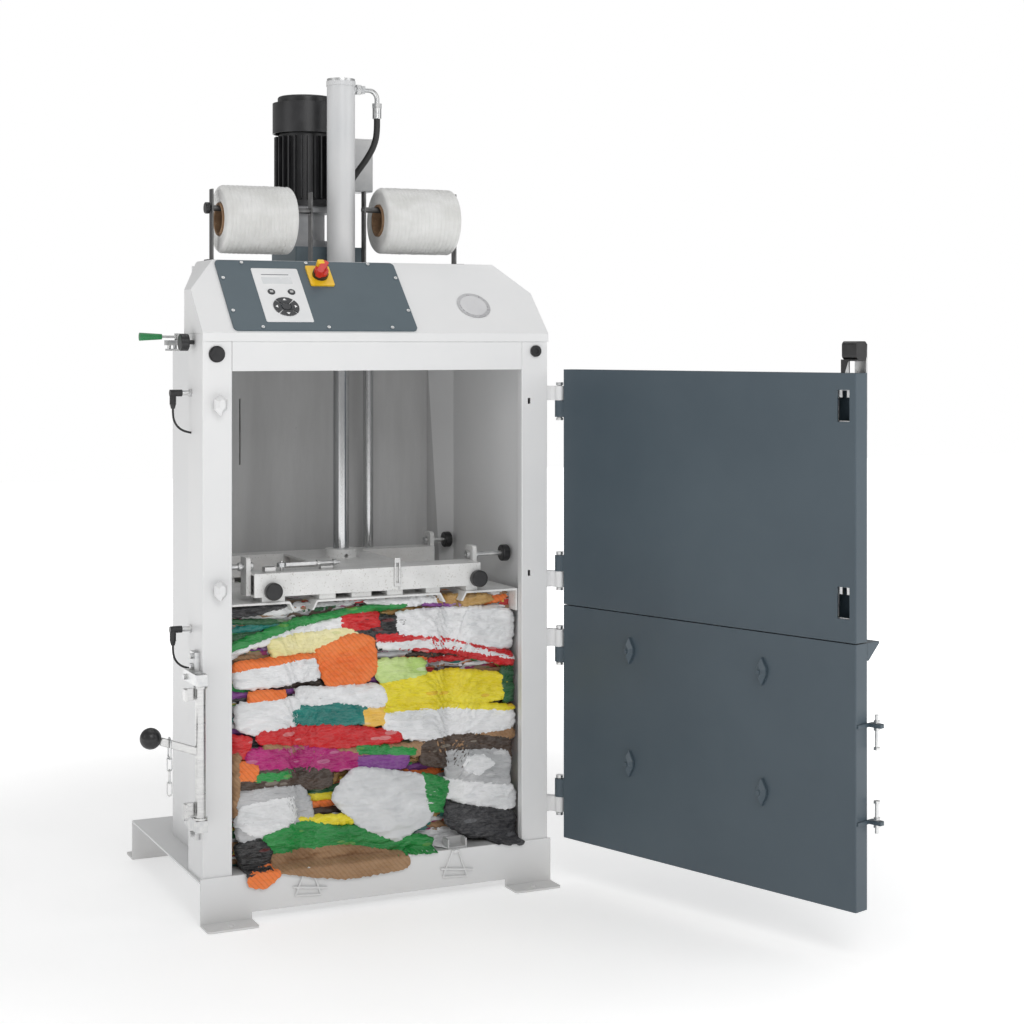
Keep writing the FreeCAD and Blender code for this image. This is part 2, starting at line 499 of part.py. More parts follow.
ls = fuse(ls, cyl(16, (LOCK_X, LOCK_Y, 250.6), (0, 0, 1), 5), cyl(16, (LOCK_X, LOCK_Y, 546.4), (0, 0, 1), 5))
for z0, z1 in ((519.0, 546.0), (256.0, 288.0)):
    # hook drawn in the locked position, then turned back to rest
    hk = fuse(xy([(LOCK_X - 15, LOCK_Y - 2), (LOCK_X - 8, LOCK_Y - 2), (LOCK_X - 8, LOCK_Y - 31), (LOCK_X + 8, LOCK_Y - 31), (LOCK_X + 8, LOCK_Y - 37), (LOCK_X - 12, LOCK_Y - 37), (LOCK_X - 15, LOCK_Y - 34)], z0, z1),
              xy([(LOCK_X - 15, LOCK_Y - 2), (LOCK_X - 11, LOCK_Y + 3), (LOCK_X + 4, LOCK_Y - 8), (LOCK_X - 8, LOCK_Y - 14)], z0, z1))
    ls = fuse(ls, rot(hk, -90, (LOCK_X, LOCK_Y, 0)))
KN = (-128.0, -32.0, 443.0)
LR = (LOCK_X - 6, LOCK_Y, 404.0)
dv = V(*KN) - V(*LR)
ln = dv.Length
lev2 = box(0, ln - 25, -5, 5, -9, 9)
lev2 = rnd(lev2, 2, lambda e: along(e, 0))
tip2 = cyl(5, (ln - 26, 0, 0), (1, 0, 0), 20)
lev2 = fuse(lev2, tip2)
ang_y = math.degrees(math.atan2(dv.z, math.hypot(dv.x, dv.y)))
lev2.rotate(V(0, 0, 0), V(0, 1, 0), -ang_y)
lev2.rotate(V(0, 0, 0), V(0, 0, 1), math.degrees(math.atan2(dv.y, dv.x)))
lev2.translate(V(*LR))
ls = fuse(ls, lev2)
save("lock_shaft", ls)
ball = Part.makeSphere(24, V(*KN))
e = dv * (1 / ln)
ball = ball.cut(cyl(5.0, (KN[0] - e.x * 30, KN[1] - e.y * 30, KN[2] - e.z * 30), (e.x, e.y, e.z), 24.05))
save("lock_knob", ball)


def link(cx, cy_, ztop, w, h, r, plane):
    """Closed long link of round wire, its top centreline point at ztop."""
    q = w / 2
    z1_, z0_ = ztop - q, ztop - h + q
    if plane == "xz":
        P = lambda a, z: V(cx + a, cy_, z)
        n = V(0, 1, 0)
    else:
        P = lambda a, z: V(cx, cy_ + a, z)
        n = V(1, 0, 0)
    es = [Part.Arc(P(-q, z1_), P(0, ztop), P(q, z1_)).toShape(), Part.LineSegment(P(q, z1_), P(q, z0_)).toShape(), Part.Arc(P(q, z0_), P(0, ztop - h), P(-q, z0_)).toShape(), Part.LineSegment(P(-q, z0_), P(-q, z1_)).toShape()]
    w_ = Part.Wire(es)
    prof = Part.Wire(Part.makeCircle(r, P(q, (z1_ + z0_) / 2), V(0, 0, 1)))
    parts = []
    # straights and half rings, joined
    hz = z1_ - z0_
    s = fuse(cyl(r, tuple(P(-q, z0_)), (0, 0, 1), hz), cyl(r, tuple(P(q, z0_)), (0, 0, 1), hz))
    for zc, up in ((z1_, True), (z0_, False)):
        t_ = Part.makeTorus(q, r, P(0, zc), n)
        half = box(cx - 60, cx + 60, cy_ - 60, cy_ + 60, zc, zc + 60) if up else box(cx - 60, cx + 60, cy_ - 60, cy_ + 60, zc - 60, zc)
        s = fuse(s, t_.common(half))
    return s


CX = -85.0
zc = 404.0 + (LOCK_X - 6 - CX) / (LOCK_X - 6 - KN[0]) * (KN[2] - 404.0)
cyc = LOCK_Y + (KN[1] - LOCK_Y) * (LOCK_X - 6 - CX) / (LOCK_X - 6 - KN[0])
ztop = zc + 9.5 + 2.0 + 2.2
save("snap_hook", link(CX, cyc, ztop, 22, 48, 2.0, "yz"))
CHAIN = [("snap_hook", CX, cyc, ztop)]
z = ztop - 48 + 2.0 + 1.6 + 0.3
for k in range(3):
    save("chain_link_%d" % (k + 1), link(CX, cyc, z, 10.5, 31, 1.6, "xz" if k % 2 == 0 else "yz"))
    CHAIN.append(("chain_link_%d" % (k + 1), CX, cyc, z))
    z = z - 31 + 1.6 + 1.6 + 0.3
print("chain", [(a, round(b + OFF.x, 2), round(c + OFF.y, 2), round(d, 2)) for a, b, c, d in CHAIN])

# ---- clamp, adjusting knob, bolts on the front -------------------------------------
cb = fuse(box(-38, 50, 126, 182, 1305.2, 1310), box(-44, -14, 142, 168, 1318, 1330), cyl(4, (-36, 155, 1309), (0, 0, 1), 10), cyl(4, (-22, 155, 1309), (0, 0, 1), 10), box(-20, -14, 142, 168, 1329, 1346))
cb = cb.cut(box(-30, 0, 149, 161, 1330.5, 1360))
cb = fuse(cb, cyl(3, (-17, 141, 1338), (0, 1, 0), 28))
save("clamp_base", cb)
ch = fuse(ring(6, 3.1, (-17, 150, 1338), (0, 1, 0), 10), box(-56, -22, 151, 159, 1335, 1341))
grip = Part.makeCone(6.5, 9.5, 52, V(-54, 155, 1338), V(-1, 0, 0))
ch = fuse(ch, grip)
save("clamp_handle", ch)
rk = fuse(rnd(cyl(20, (-34, 72, 1325), (1, 0, 0), 20), 3, lambda e: e.Curve.TypeId == "Part::GeomCircle"), cyl(5, (-15, 72, 1325), (1, 0, 0), 24))
save("adjusting_knob", rk)
fb_ = [fuse(hexa(30, (33, -0.1, 1298), (0, -1, 0), 7), cyl(19, (33, -0.1, 1298), (0, -1, 0), 3), cyl(8.9, (33, -1, 1298), (0, 1, 0), 12)),
       fuse(cyl(14, (837, -0.1, 1304), (0, -1, 0), 6), cyl(8.9, (837, -1, 1304), (0, 1, 0), 12)).cut(hexa(14, (837, -3, 1304), (0, -1, 0), 8))]
save("frame_bolts", comp(*fb_))

# ---- door switches, their plugs and cables -----------------------------------------
sws, plugs = [], []
ZS = (1208.0, 663.0)
SY = 96.0
for z in ZS:
    sws.append(fuse(cyl(6, (-22, SY, z), (1, 0, 0), 44), hexa(17, (-5.2, SY, z), (1, 0, 0), 5), hexa(17, (4.1, SY, z), (1, 0, 0), 5)))
    pg = fuse(cyl(8, (-50, SY, z), (1, 0, 0), 27.8), cyl(7.5, (-43, SY, z - 26), (0, 0, 1), 26), Part.makeCone(4.5, 7, 10, V(-43, SY, z - 36), V(0, 0, 1)))
    plugs.append(pg)
save("door_switches", comp(*sws))
save("switch_plugs", comp(*plugs))


def tube(name, pts, r):
    P = [V(*p) for p in pts]
    edges, start, radii = [], P[0], []
    for i in range(1, len(P) - 1):
        a, b = P[i - 1] - P[i], P[i + 1] - P[i]
        la_, lb_ = a.Length, b.Length
        a.normalize()
        b.normalize()
        turn = math.pi - a.getAngle(b)
        R = 0.45 * min(la_, lb_) / math.tan(turn / 2)
        radii.append(round(R, 1))
        tl = R * math.tan(turn / 2)
        p1, p2 = P[i] + a * tl, P[i] + b * tl
        bis = a + b
        bis.normalize()
        pm = P[i] + bis * (R / math.cos(turn / 2) - R)
        edges.append(Part.LineSegment(start, p1).toShape())
        edges.append(Part.Arc(p1, pm, p2).toShape())
        start = p2
    edges.append(Part.LineSegment(start, P[-1]).toShape())
    w = Part.Wire(edges)
    d0 = P[1] - P[0]
    c = Part.Wire(Part.makeCircle(r, P[0], d0))
    s = w.makePipeShell([c], True, False)
    if not s.isValid() or s.Volume < 0:
        s = Part.Solid(Part.Shell(s.Faces))
    print(name, "radii", radii, "length", round(w.Length, 1), "vol/section*len", round(s.Volume / (math.pi * r * r * w.Length), 4))
    save(name, s)


for n, z in (("sensor_cable_upper", ZS[0]), ("sensor_cable_lower", ZS[1])):
    tube(n, [(-43, SY, z - 36), (-43, SY, z - 52), (-39, SY, z - 68), (-29, SY, z - 81), (-15, SY, z - 89), (-0.1, SY, z - 92)], 2.5)

# ---- power pack on the hood ----------------------------------------------------------
MX, MY = 398.0, 450.0
tank = fuse(rnd(box(338, 520, 345, 545, HOOD_TOP + 0.2, 1566), 6, lambda e: along(e, 2)), cyl(11, (440, 362, 1565), (0, 0, 1), 20), hexa(24, (440, 362, 1584), (0, 0, 1), 15.2))
save("oil_tank", tank)
bell = fuse(cyl(62, (MX, MY, 1566.2), (0, 0, 1), 18), cyl(50, (MX, MY, 1583), (0, 0, 1), 72), cyl(70, (MX, MY, 1655), (0, 0, 1), 16))
for k in range(4):
    a = math.radians(45 + 90 * k)
    bell = fuse(bell, cyl(7, (MX + 62 * math.cos(a), MY + 62 * math.sin(a), 1655), (0, 0, 1), 16))
save("bell_housing", bell)
mot = cyl(66, (MX, MY, 1671.2), (0, 0, 1), 187)
fins = []
for k in range(28):
    a = 360.0 / 28 * k
    f = rot(box(MX + 60, MX + 79, MY - 1.6, MY + 1.6, 1690, 1850), a, (MX, MY, 0))
    fins.append(f)
mot = mot.multiFuse(fins)
mot = fuse(mot, cyl(79, (MX, MY, 1671.2), (0, 0, 1), 14), box(MX + 55, MX + 86, MY - 36, MY + 20, 1722, 1844))
fc = fuse(cyl(83, (MX, MY, 1858.4), (0, 0, 1), 78), cyl(70, (MX, MY, 1936), (0, 0, 1), 18))
fc = fc.cut(cyl(79, (MX, MY, 1850), (0, 0, 1), 80)).cut(cyl(62, (MX, MY, 1920), (0, 0, 1), 30))
fc = rnd(fc, 6, lambda e: e.Curve.TypeId == "Part::GeomCircle" and abs(e.Vertexes[0].Point.z - 1954) < 0.1)
save("fan_cover", fc)
tb = rnd(box(MX + 86.1, 572, 420, 486, 1714, 1852), 5, lambda e: along(e, 0))
save("motor", comp(mot, tb))
hf_ = fuse(hexa(24, (ROD_X + CYL_R + 4.2, ROD_Y, 1958), (1, 0, 0), 12), cyl(8, (ROD_X + CYL_R + 4.2, ROD_Y, 1958), (1, 0, 0), 22), hexa(20, (ROD_X + CYL_R + 18, ROD_Y, 1958), (1, 0, 0), 9))
R_E = 22.0
xs = ROD_X + CYL_R + 26
arc_ = Part.Wire([Part.LineSegment(V(xs - 2, ROD_Y, 1958), V(531 - R_E, ROD_Y, 1958)).toShape(), Part.Arc(V(531 - R_E, ROD_Y, 1958), V(531 - R_E + R_E * SQ, ROD_Y, 1958 - R_E + R_E * SQ), V(531, ROD_Y, 1958 - R_E)).toShape(), Part.LineSegment(V(531, ROD_Y, 1958 - R_E), V(531, ROD_Y, 1924)).toShape()])
elb = arc_.makePipeShell([Part.Wire(Part.makeCircle(6, V(xs - 2, ROD_Y, 1958), V(1, 0, 0)))], True, False)
hf_ = fuse(hf_, elb, cyl(11, (531, ROD_Y, 1887.5), (0, 0, 1), 35.5), hexa(22, (531, ROD_Y, 1914), (0, 0, 1), 12))
save("hose_fitting", hf_)
HOSE = [(531, 283, 1887), (532, 284, 1853), (527, 293, 1820), (514, 308, 1789), (497, 325, 1760), (479, 339, 1729), (463, 349, 1695), (450, 356, 1662), (442, 361, 1630), (440, 362, 1600)]
tube("hydraulic_hose", HOSE, 8.0)

# ---- strap rolls on their holder ---------------------------------------------------------
RY = 260.0
RODS = ((97.0, 346.0, 1649.0, 112.0, 294.0), (488.0, 731.0, 1656.0, 522.0, 722.0))
hs = []
for i, (x0, x1, z, r0, r1) in enumerate(RODS):
    hs.append(fuse(cyl(7, (x0 - 6, RY, z), (1, 0, 0), x1 - x0 + 12),
                   box(x0 - 3, x0 + 1, RY - 12, RY + 12, HOOD_TOP + 0.2, z + 46), box(x1 - 1, x1 + 3, RY - 12, RY + 12, HOOD_TOP + 0.2, z + 46),
                   box(x0 - 15, x0 + 1, RY - 16, RY + 16, HOOD_TOP + 0.2, HOOD_TOP + 4), box(x1 - 1, x1 + 22, RY - 16, RY + 16, HOOD_TOP + 0.2, HOOD_TOP + 4)))
save("roll_holders", comp(rnd(cyl(14, (97 - 18, RY, 1649), (1, 0, 0), 11.9), 3, lambda e: e.Curve.TypeId == "Part::GeomCircle"), *hs))
for n, (x0, x1, z, r0, r1) in zip(("left", "right"), RODS):
    za = z - 26.0
    roll = ring(84, 40.1, (r0, RY, za), (1, 0, 0), r1 - r0)
    roll = rnd(roll, 14, lambda e: e.Curve.TypeId == "Part::GeomCircle" and abs(e.Curve.Radius - 84) < 0.5)
    save("strap_roll_" + n, comp(roll, ring(40, 33.3, (r0 - 2, RY, za), (1, 0, 0), r1 - r0 + 4)))

# ---- the bale and the strap loops on the sill ---------------------------------------------
bl = xy([(62, 26), (808, 26), (808, 440), (770, 520), (100, 520), (62, 440)], LEDGE + 8.3, 640)
up = [box(76, 213, 30, 436, 639, 716.5), box(286, 592, 30, 480, 639, 716.5), box(665, 790, 30, 436, 639, 716.5)]
for u_ in up:
    bl = fuse(bl, u_)
bl = fuse(bl, box(74, 792, 40, 436, 630, 690))
bl = cut(bl, box(604, 656, 20, 36, 100, LEDGE + 31), box(0, POST_W + 0.6, 0, 24, 0, 2000), box(W - POST_W - 0.6, W, 0, 24, 0, 2000))
for x in (249.0, 629.0):
    bl = bl.cut(box(x - 9, x + 9, 20, 36, LEDGE, 700))
save("bale", bl)
wl = []


def wire_loop(pts, r):
    s = None
    for a, b in zip(pts, pts[1:]):
        d = V(*b) - V(*a)
        c = Part.makeCylinder(r, d.Length, V(*a), d)
        s = c if s is None else s.fuse(c)
        s = s.fuse(Part.makeSphere(r, V(*b)))
    return s


for x0 in (252.0, 622.0):
    y = -9.2
    wl.append(wire_loop([(x0 - 10, y, 104), (x0 - 34, y, 46), (x0 + 28, y, 42), (x0 + 6, y, 104)], 2.0).fuse(wire_loop([(x0 - 40, y, 66), (x0 + 42, y, 56)], 2.6)).fuse(cyl(5, (x0 - 2, -13.2, 104), (0, 1, 0), 8.1)).fuse(box(x0 - 12, x0 + 8, -11, -7, 101, 107)))
save("strap_hooks", comp(*wl))

print("nodes", len(PARTS))
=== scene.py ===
# Recycling baler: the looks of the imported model. Metres, in the CAD's frame.
import bpy, bmesh, math, random
from mathutils import Vector, Matrix, noise
from mathutils.geometry import delaunay_2d_cdt


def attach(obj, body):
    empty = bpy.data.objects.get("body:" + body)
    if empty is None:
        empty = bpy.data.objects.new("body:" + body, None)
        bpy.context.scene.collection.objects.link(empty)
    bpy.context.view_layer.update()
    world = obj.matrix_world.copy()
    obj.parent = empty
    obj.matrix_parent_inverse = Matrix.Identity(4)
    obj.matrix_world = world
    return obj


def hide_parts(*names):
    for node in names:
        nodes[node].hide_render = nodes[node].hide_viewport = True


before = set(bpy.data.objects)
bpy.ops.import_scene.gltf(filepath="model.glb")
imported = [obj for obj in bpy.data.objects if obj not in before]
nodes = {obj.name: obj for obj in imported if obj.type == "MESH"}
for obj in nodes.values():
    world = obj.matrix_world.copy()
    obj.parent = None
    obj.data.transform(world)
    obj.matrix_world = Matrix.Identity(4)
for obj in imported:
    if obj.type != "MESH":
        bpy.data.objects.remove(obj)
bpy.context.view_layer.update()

col = bpy.context.scene.collection


def W(x, y, z):
    """A point in the drawing's millimetres, in the frame's metres."""
    return Vector(((x - 435.0) / 1000.0, (y - 316.3) / 1000.0, z / 1000.0))


# ------------------------------------------------------------------ camera
cam_data = bpy.data.cameras.new("camera")
cam_data.sensor_width = 36.0
cam_data.lens = 67.81
cam_data.shift_x = 0.0
cam_data.shift_y = -0.1633
cam_data.clip_end = 60.0
cam = bpy.data.objects.new("camera", cam_data)
cam.location = (-1.647, -4.5776, 1.3193)
cam.rotation_euler = (math.radians(90), 0.0, math.radians(-24.99))
col.objects.link(cam)
bpy.context.scene.camera = cam


# --------------------------------------------------------------- materials
def new_mat(name):
    m = bpy.data.materials.new(name)
    m.use_nodes = True
    nt = m.node_tree
    for n in list(nt.nodes):
        nt.nodes.remove(n)
    out = nt.nodes.new("ShaderNodeOutputMaterial")
    b = nt.nodes.new("ShaderNodeBsdfPrincipled")
    nt.links.new(b.outputs[0], out.inputs[0])
    return m, nt, b


def ramp(nt, fac, stops, constant=False):
    r = nt.nodes.new("ShaderNodeValToRGB")
    e = r.color_ramp.elements
    while len(e) > 1:
        e.remove(e[-1])
    e[0].position = stops[0][0]
    e[0].color = (*stops[0][1], 1)
    for p, c in stops[1:]:
        x = e.new(p)
        x.color = (*c, 1)
    if constant:
        r.color_ramp.interpolation = "CONSTANT"
    nt.links.new(fac, r.inputs[0])
    return r.outputs[0]


def tex(nt, kind, scale, stretch=(1, 1, 1), **kw):
    tc = nt.nodes.new("ShaderNodeTexCoord")
    mp = nt.nodes.new("ShaderNodeMapping")
    mp.inputs["Scale"].default_value = stretch
    nt.links.new(tc.outputs["Object"], mp.inputs[0])
    t = nt.nodes.new(kind)
    t.inputs["Scale"].default_value = scale
    for k, v in kw.items():
        if k in t.inputs:
            t.inputs[k].default_value = v
        else:
            setattr(t, k, v)
    nt.links.new(mp.outputs[0], t.inputs["Vector"])
    return t


def mathn(nt, op, a, b=None, clamp=False):
    n = nt.nodes.new("ShaderNodeMath")
    n.operation = op
    n.use_clamp = clamp
    for i, v in enumerate((a, b)):
        if v is None:
            continue
        if isinstance(v, (int, float)):
            n.inputs[i].default_value = v
        else:
            nt.links.new(v, n.inputs[i])
    return n.outputs[0]


def mixc(nt, fac, a, b):
    n = nt.nodes.new("ShaderNodeMix")
    n.data_type = "RGBA"
    for s, v in ((0, fac), (6, a), (7, b)):
        if isinstance(v, tuple):
            n.inputs[s].default_value = (*v, 1)
        elif isinstance(v, (int, float)):
            n.inputs[s].default_value = v
        else:
            nt.links.new(v, n.inputs[s])
    return n.outputs[2]


def surface(name, a, b, rough=0.45, rvar=0.12, metal=0.0, scale=6.0, grain=900.0,
            bump=0.08, depth=0.0004, stretch=(1, 1, 1), gstretch=(1, 1, 1), edge=None,
            radius=0.0012, coat=0.0, spec=0.5, bottom_darkening=None, speck=None):
    """A finish: two tones mixed by noise, uneven roughness, grain in relief, edges with wear."""
    m, nt, s = new_mat(name)
    broad = tex(nt, "ShaderNodeTexNoise", scale, stretch, Detail=6.0, Roughness=0.6)
    c = ramp(nt, broad.outputs[0], [(0.32, a), (0.68, b)])
    fine = tex(nt, "ShaderNodeTexNoise", grain, gstretch, Detail=3.0)
    if speck:
        sp = tex(nt, "ShaderNodeTexNoise", 260.0, stretch, Detail=2.0)
        f = ramp(nt, sp.outputs[0], [(0.64, (0, 0, 0)), (0.70, (1, 1, 1))])
        c = mixc(nt, f, c, speck)
    # darker towards the bottom: below the given height the colour blends by noise towards a darker tone
    if bottom_darkening:
        geo = nt.nodes.new("ShaderNodeNewGeometry")
        sep = nt.nodes.new("ShaderNodeSeparateXYZ")
        nt.links.new(geo.outputs["Position"], sep.inputs[0])
        low = nt.nodes.new("ShaderNodeMapRange")
        low.inputs["From Min"].default_value = bottom_darkening[1]
        low.inputs["From Max"].default_value = 0.0
        nt.links.new(sep.outputs[2], low.inputs[0])
        d = mathn(nt, "MULTIPLY", low.outputs[0], broad.outputs[0], True)
        c = mixc(nt, mathn(nt, "MULTIPLY", d, bottom_darkening[2]), c, bottom_darkening[0])
    bev = nt.nodes.new("ShaderNodeBevel")
    bev.samples = 4
    bev.inputs[0].default_value = radius
    if edge:
        geo2 = nt.nodes.new("ShaderNodeNewGeometry")
        dot = nt.nodes.new("ShaderNodeVectorMath")
        dot.operation = "DOT_PRODUCT"
        nt.links.new(bev.outputs[0], dot.inputs[0])
        nt.links.new(geo2.outputs["Normal"], dot.inputs[1])
        w = nt.nodes.new("ShaderNodeMapRange")
        w.inputs["From Min"].default_value = 0.985
        w.inputs["From Max"].default_value = 0.90
        nt.links.new(dot.outputs["Value"], w.inputs[0])
        wn = tex(nt, "ShaderNodeTexNoise", 55.0, (1, 1, 1), Detail=4.0)
        wr = ramp(nt, wn.outputs[0], [(0.45, (0, 0, 0)), (0.62, (1, 1, 1))])
        c = mixc(nt, mathn(nt, "MULTIPLY", w.outputs[0], wr, True), c, edge)
    nt.links.new(c, s.inputs["Base Color"])
    r = nt.nodes.new("ShaderNodeMapRange")
    r.inputs["To Min"].default_value = max(0.03, rough - rvar)
    r.inputs["To Max"].default_value = min(1.0, rough + rvar)
    nt.links.new(broad.outputs[0], r.inputs[0])
    nt.links.new(r.outputs[0], s.inputs["Roughness"])
    bp = nt.nodes.new("ShaderNodeBump")
    bp.inputs["Strength"].default_value = bump
    bp.inputs["Distance"].default_value = depth
    nt.links.new(fine.outputs[0], bp.inputs["Height"])
    nt.links.new(bev.outputs[0], bp.inputs["Normal"])
    nt.links.new(bp.outputs[0], s.inputs["Normal"])
    s.inputs["Metallic"].default_value = metal
    s.inputs["Coat Weight"].default_value = coat
    s.inputs["Specular IOR Level"].default_value = spec
    return m


grey = surface("grey_coat", (0.72, 0.725, 0.73), (0.76, 0.76, 0.76), rough=0.40, rvar=0.08, scale=3,
               grain=700, bump=0.12, edge=(0.62, 0.62, 0.61), bottom_darkening=((0.45, 0.43, 0.40), 0.10, 0.5))
# inside of the chamber: a darker copy of the grey as painted shade for the shut-in walls, with streaks and specks as
# scuffs
inner_scuffed_and_shaded = surface("inner_coat", (0.46, 0.46, 0.46), (0.56, 0.56, 0.56), rough=0.42, rvar=0.14, scale=5,
                stretch=(3, 3, 0.4), grain=600, bump=0.14, edge=(0.5, 0.5, 0.5), speck=(0.5, 0.5, 0.5))
platen_m = surface("platen_coat", (0.66, 0.66, 0.65), (0.80, 0.80, 0.79), rough=0.38, rvar=0.12, scale=14,
                   grain=600, bump=0.14, edge=(0.42, 0.42, 0.41), speck=(0.5, 0.48, 0.45))
door = surface("door_coat", (0.048, 0.071, 0.090), (0.062, 0.088, 0.108), rough=0.42, rvar=0.07, scale=2.4,
               grain=800, bump=0.16, edge=(0.12, 0.15, 0.17))
panel = surface("panel_coat", (0.066, 0.096, 0.115), (0.080, 0.112, 0.132), rough=0.46, rvar=0.06, scale=6,
                grain=900, bump=0.14, edge=(0.16, 0.19, 0.21))
black = surface("black_coat", (0.010, 0.010, 0.011), (0.022, 0.022, 0.024), rough=0.36, rvar=0.12, scale=20,
                grain=500, bump=0.2, edge=(0.06, 0.06, 0.06))
zinc = surface("zinc", (0.52, 0.53, 0.54), (0.72, 0.72, 0.71), rough=0.34, rvar=0.12, metal=1.0, scale=60,
               grain=500, bump=0.1, edge=(0.85, 0.85, 0.84), radius=0.0008)
steel = surface("steel", (0.50, 0.50, 0.50), (0.66, 0.66, 0.65), rough=0.30, rvar=0.10, metal=1.0, scale=30,
                stretch=(1, 1, 6), grain=400, gstretch=(1, 1, 0.05), bump=0.1, edge=(0.8, 0.8, 0.8), radius=0.0008)
chrome = surface("chrome", (0.50, 0.51, 0.52), (0.62, 0.62, 0.62), rough=0.12, rvar=0.05, metal=1.0, scale=18,
                 stretch=(1, 1, 0.2), grain=600, gstretch=(0.2, 0.2, 4), bump=0.03, radius=0.0006)
plastic = surface("black_plastic", (0.009, 0.009, 0.010), (0.020, 0.020, 0.021), rough=0.33, rvar=0.08, scale=40,
                  grain=1400, bump=0.25, edge=(0.05, 0.05, 0.05), radius=0.0009)
foil = surface("foil", (0.70, 0.71, 0.72), (0.78, 0.78, 0.78), rough=0.38, rvar=0.05, scale=12, grain=1500,
               bump=0.08, radius=0.0005)
keys = surface("key_plastic", (0.016, 0.018, 0.022), (0.030, 0.032, 0.036), rough=0.44, rvar=0.06, scale=50,
               grain=1500, bump=0.15, radius=0.0005)
yellow = surface("switch_yellow", (0.78, 0.46, 0.012), (0.86, 0.54, 0.02), rough=0.35, rvar=0.06, scale=40,
                 grain=1200, bump=0.12, radius=0.0006)
red = surface("switch_red", (0.52, 0.020, 0.014), (0.62, 0.032, 0.02), rough=0.32, rvar=0.06, scale=40,
              grain=1200, bump=0.12, radius=0.0008)
green_p = surface("green_plastic", (0.010, 0.16, 0.045), (0.02, 0.22, 0.07), rough=0.36, rvar=0.06, scale=50,
                  grain=1200, bump=0.15, radius=0.001)
cast = surface("cast_grey", (0.30, 0.31, 0.32), (0.42, 0.42, 0.43), rough=0.55, rvar=0.1, metal=0.4, scale=18,
               grain=420, bump=0.35, edge=(0.6, 0.6, 0.6))
tank_m = surface("tank_coat", (0.085, 0.115, 0.135), (0.11, 0.145, 0.165), rough=0.40, rvar=0.1, scale=14,
                 grain=600, bump=0.15, edge=(0.22, 0.25, 0.27))
box_m = surface("box_coat", (0.40, 0.41, 0.42), (0.52, 0.52, 0.52), rough=0.40, rvar=0.08, metal=0.3, scale=16,
                grain=600, bump=0.2, edge=(0.7, 0.7, 0.7))
ram_m = surface("ram_coat", (0.54, 0.55, 0.56), (0.62, 0.62, 0.62), rough=0.33, rvar=0.08, scale=10,
                stretch=(1, 1, 0.4), grain=600, bump=0.14, edge=(0.5, 0.5, 0.5))
dark_steel = surface("dark_steel", (0.12, 0.12, 0.12), (0.22, 0.22, 0.22), rough=0.38, rvar=0.1, metal=0.9, scale=40,
                     grain=500, bump=0.15, edge=(0.4, 0.4, 0.4), radius=0.0008)
hose_m = surface("hose_rubber", (0.008, 0.008, 0.008), (0.018, 0.018, 0.018), rough=0.5, rvar=0.1, scale=80,
                 grain=900, bump=0.5, radius=0.0005)
label_m = surface("label_white", (0.84, 0.84, 0.84), (0.88, 0.88, 0.88), rough=0.28, rvar=0.05, scale=20,
                  grain=1500, bump=0.04, radius=0.0004)
disc_m = surface("disc_silver", (0.42, 0.42, 0.43), (0.50, 0.50, 0.51), rough=0.28, rvar=0.08, metal=0.5, scale=30,
                 grain=1500, bump=0.05, radius=0.0004)
board = surface("core_board", (0.20, 0.115, 0.062), (0.30, 0.185, 0.105), rough=0.85, rvar=0.08, scale=60,
                grain=500, bump=0.5, radius=0.0006, speck=(0.36, 0.25, 0.16))


# ---------------------------------------------------------------- geometry
def obj_from(name, verts, faces, mats, body="root", smooth=True, face_mats=None):
    me = bpy.data.meshes.new(name)
    me.from_pydata([tuple(v) for v in verts], [], faces)
    me.validate()
    for m in mats:
        me.materials.append(m)
    if face_mats:
        for p, i in zip(me.polygons, face_mats):
            p.material_index = i
    for p in me.polygons:
        p.use_smooth = smooth
    o = bpy.data.objects.new(name, me)
    col.objects.link(o)
    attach(o, body)
    return o


def rounded_block(name, lo, hi, mats, body="root", r=0.0006, rot=None, at=None):
    """A block with rounded edges, from its low and high corners in metres."""
    bm = bmesh.new()
    bmesh.ops.create_cube(bm, size=1.0)
    c = [(a + b) / 2 for a, b in zip(lo, hi)]
    s = [b - a for a, b in zip(lo, hi)]
    for v in bm.verts:
        v.co = Vector((v.co.x * s[0] + c[0], v.co.y * s[1] + c[1], v.co.z * s[2] + c[2]))
    r = min(r, min(s) * 0.45)
    bmesh.ops.bevel(bm, geom=list(bm.edges), offset=r, segments=3, profile=0.5, affect="EDGES")
    if rot is not None:
        for v in bm.verts:
            v.co = rot @ v.co
    if at is not None:
        for v in bm.verts:
            v.co += at
    me = bpy.data.meshes.new(name)
    bm.to_mesh(me)
    bm.free()
    for m in mats:
        me.materials.append(m)
    for p in me.polygons:
        p.use_smooth = True
    o = bpy.data.objects.new(name, me)
    col.objects.link(o)
    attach(o, body)
    return o


def paint(node, mats, rule=None):
    """Puts finishes on a CAD node; rule(centre, normal) picks one for each face."""
    o = nodes[node]
    me = o.data
    me.materials.clear()
    for m in mats:
        me.materials.append(m)
    for p in me.polygons:
        p.material_index = rule(p.center, p.normal) if rule else 0


# ------------------------------------------------------------------- cords
def cord_curve(name, points, radius, mat, body="root"):
    cu = bpy.data.curves.new(name, "CURVE")
    cu.dimensions = "3D"
    sp = cu.splines.new("NURBS")
    sp.points.add(len(points) - 1)
    for p, q in zip(sp.points, points):
        p.co = (*W(*q), 1.0)
    sp.order_u = 3
    sp.use_endpoint_u = True
    cu.resolution_u = 16
    cu.bevel_depth = radius
    cu.bevel_resolution = 8
    cu.use_fill_caps = True
    cu.materials.append(mat)
    o = bpy.data.objects.new(name, cu)
    col.objects.link(o)
    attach(o, body)
    return o


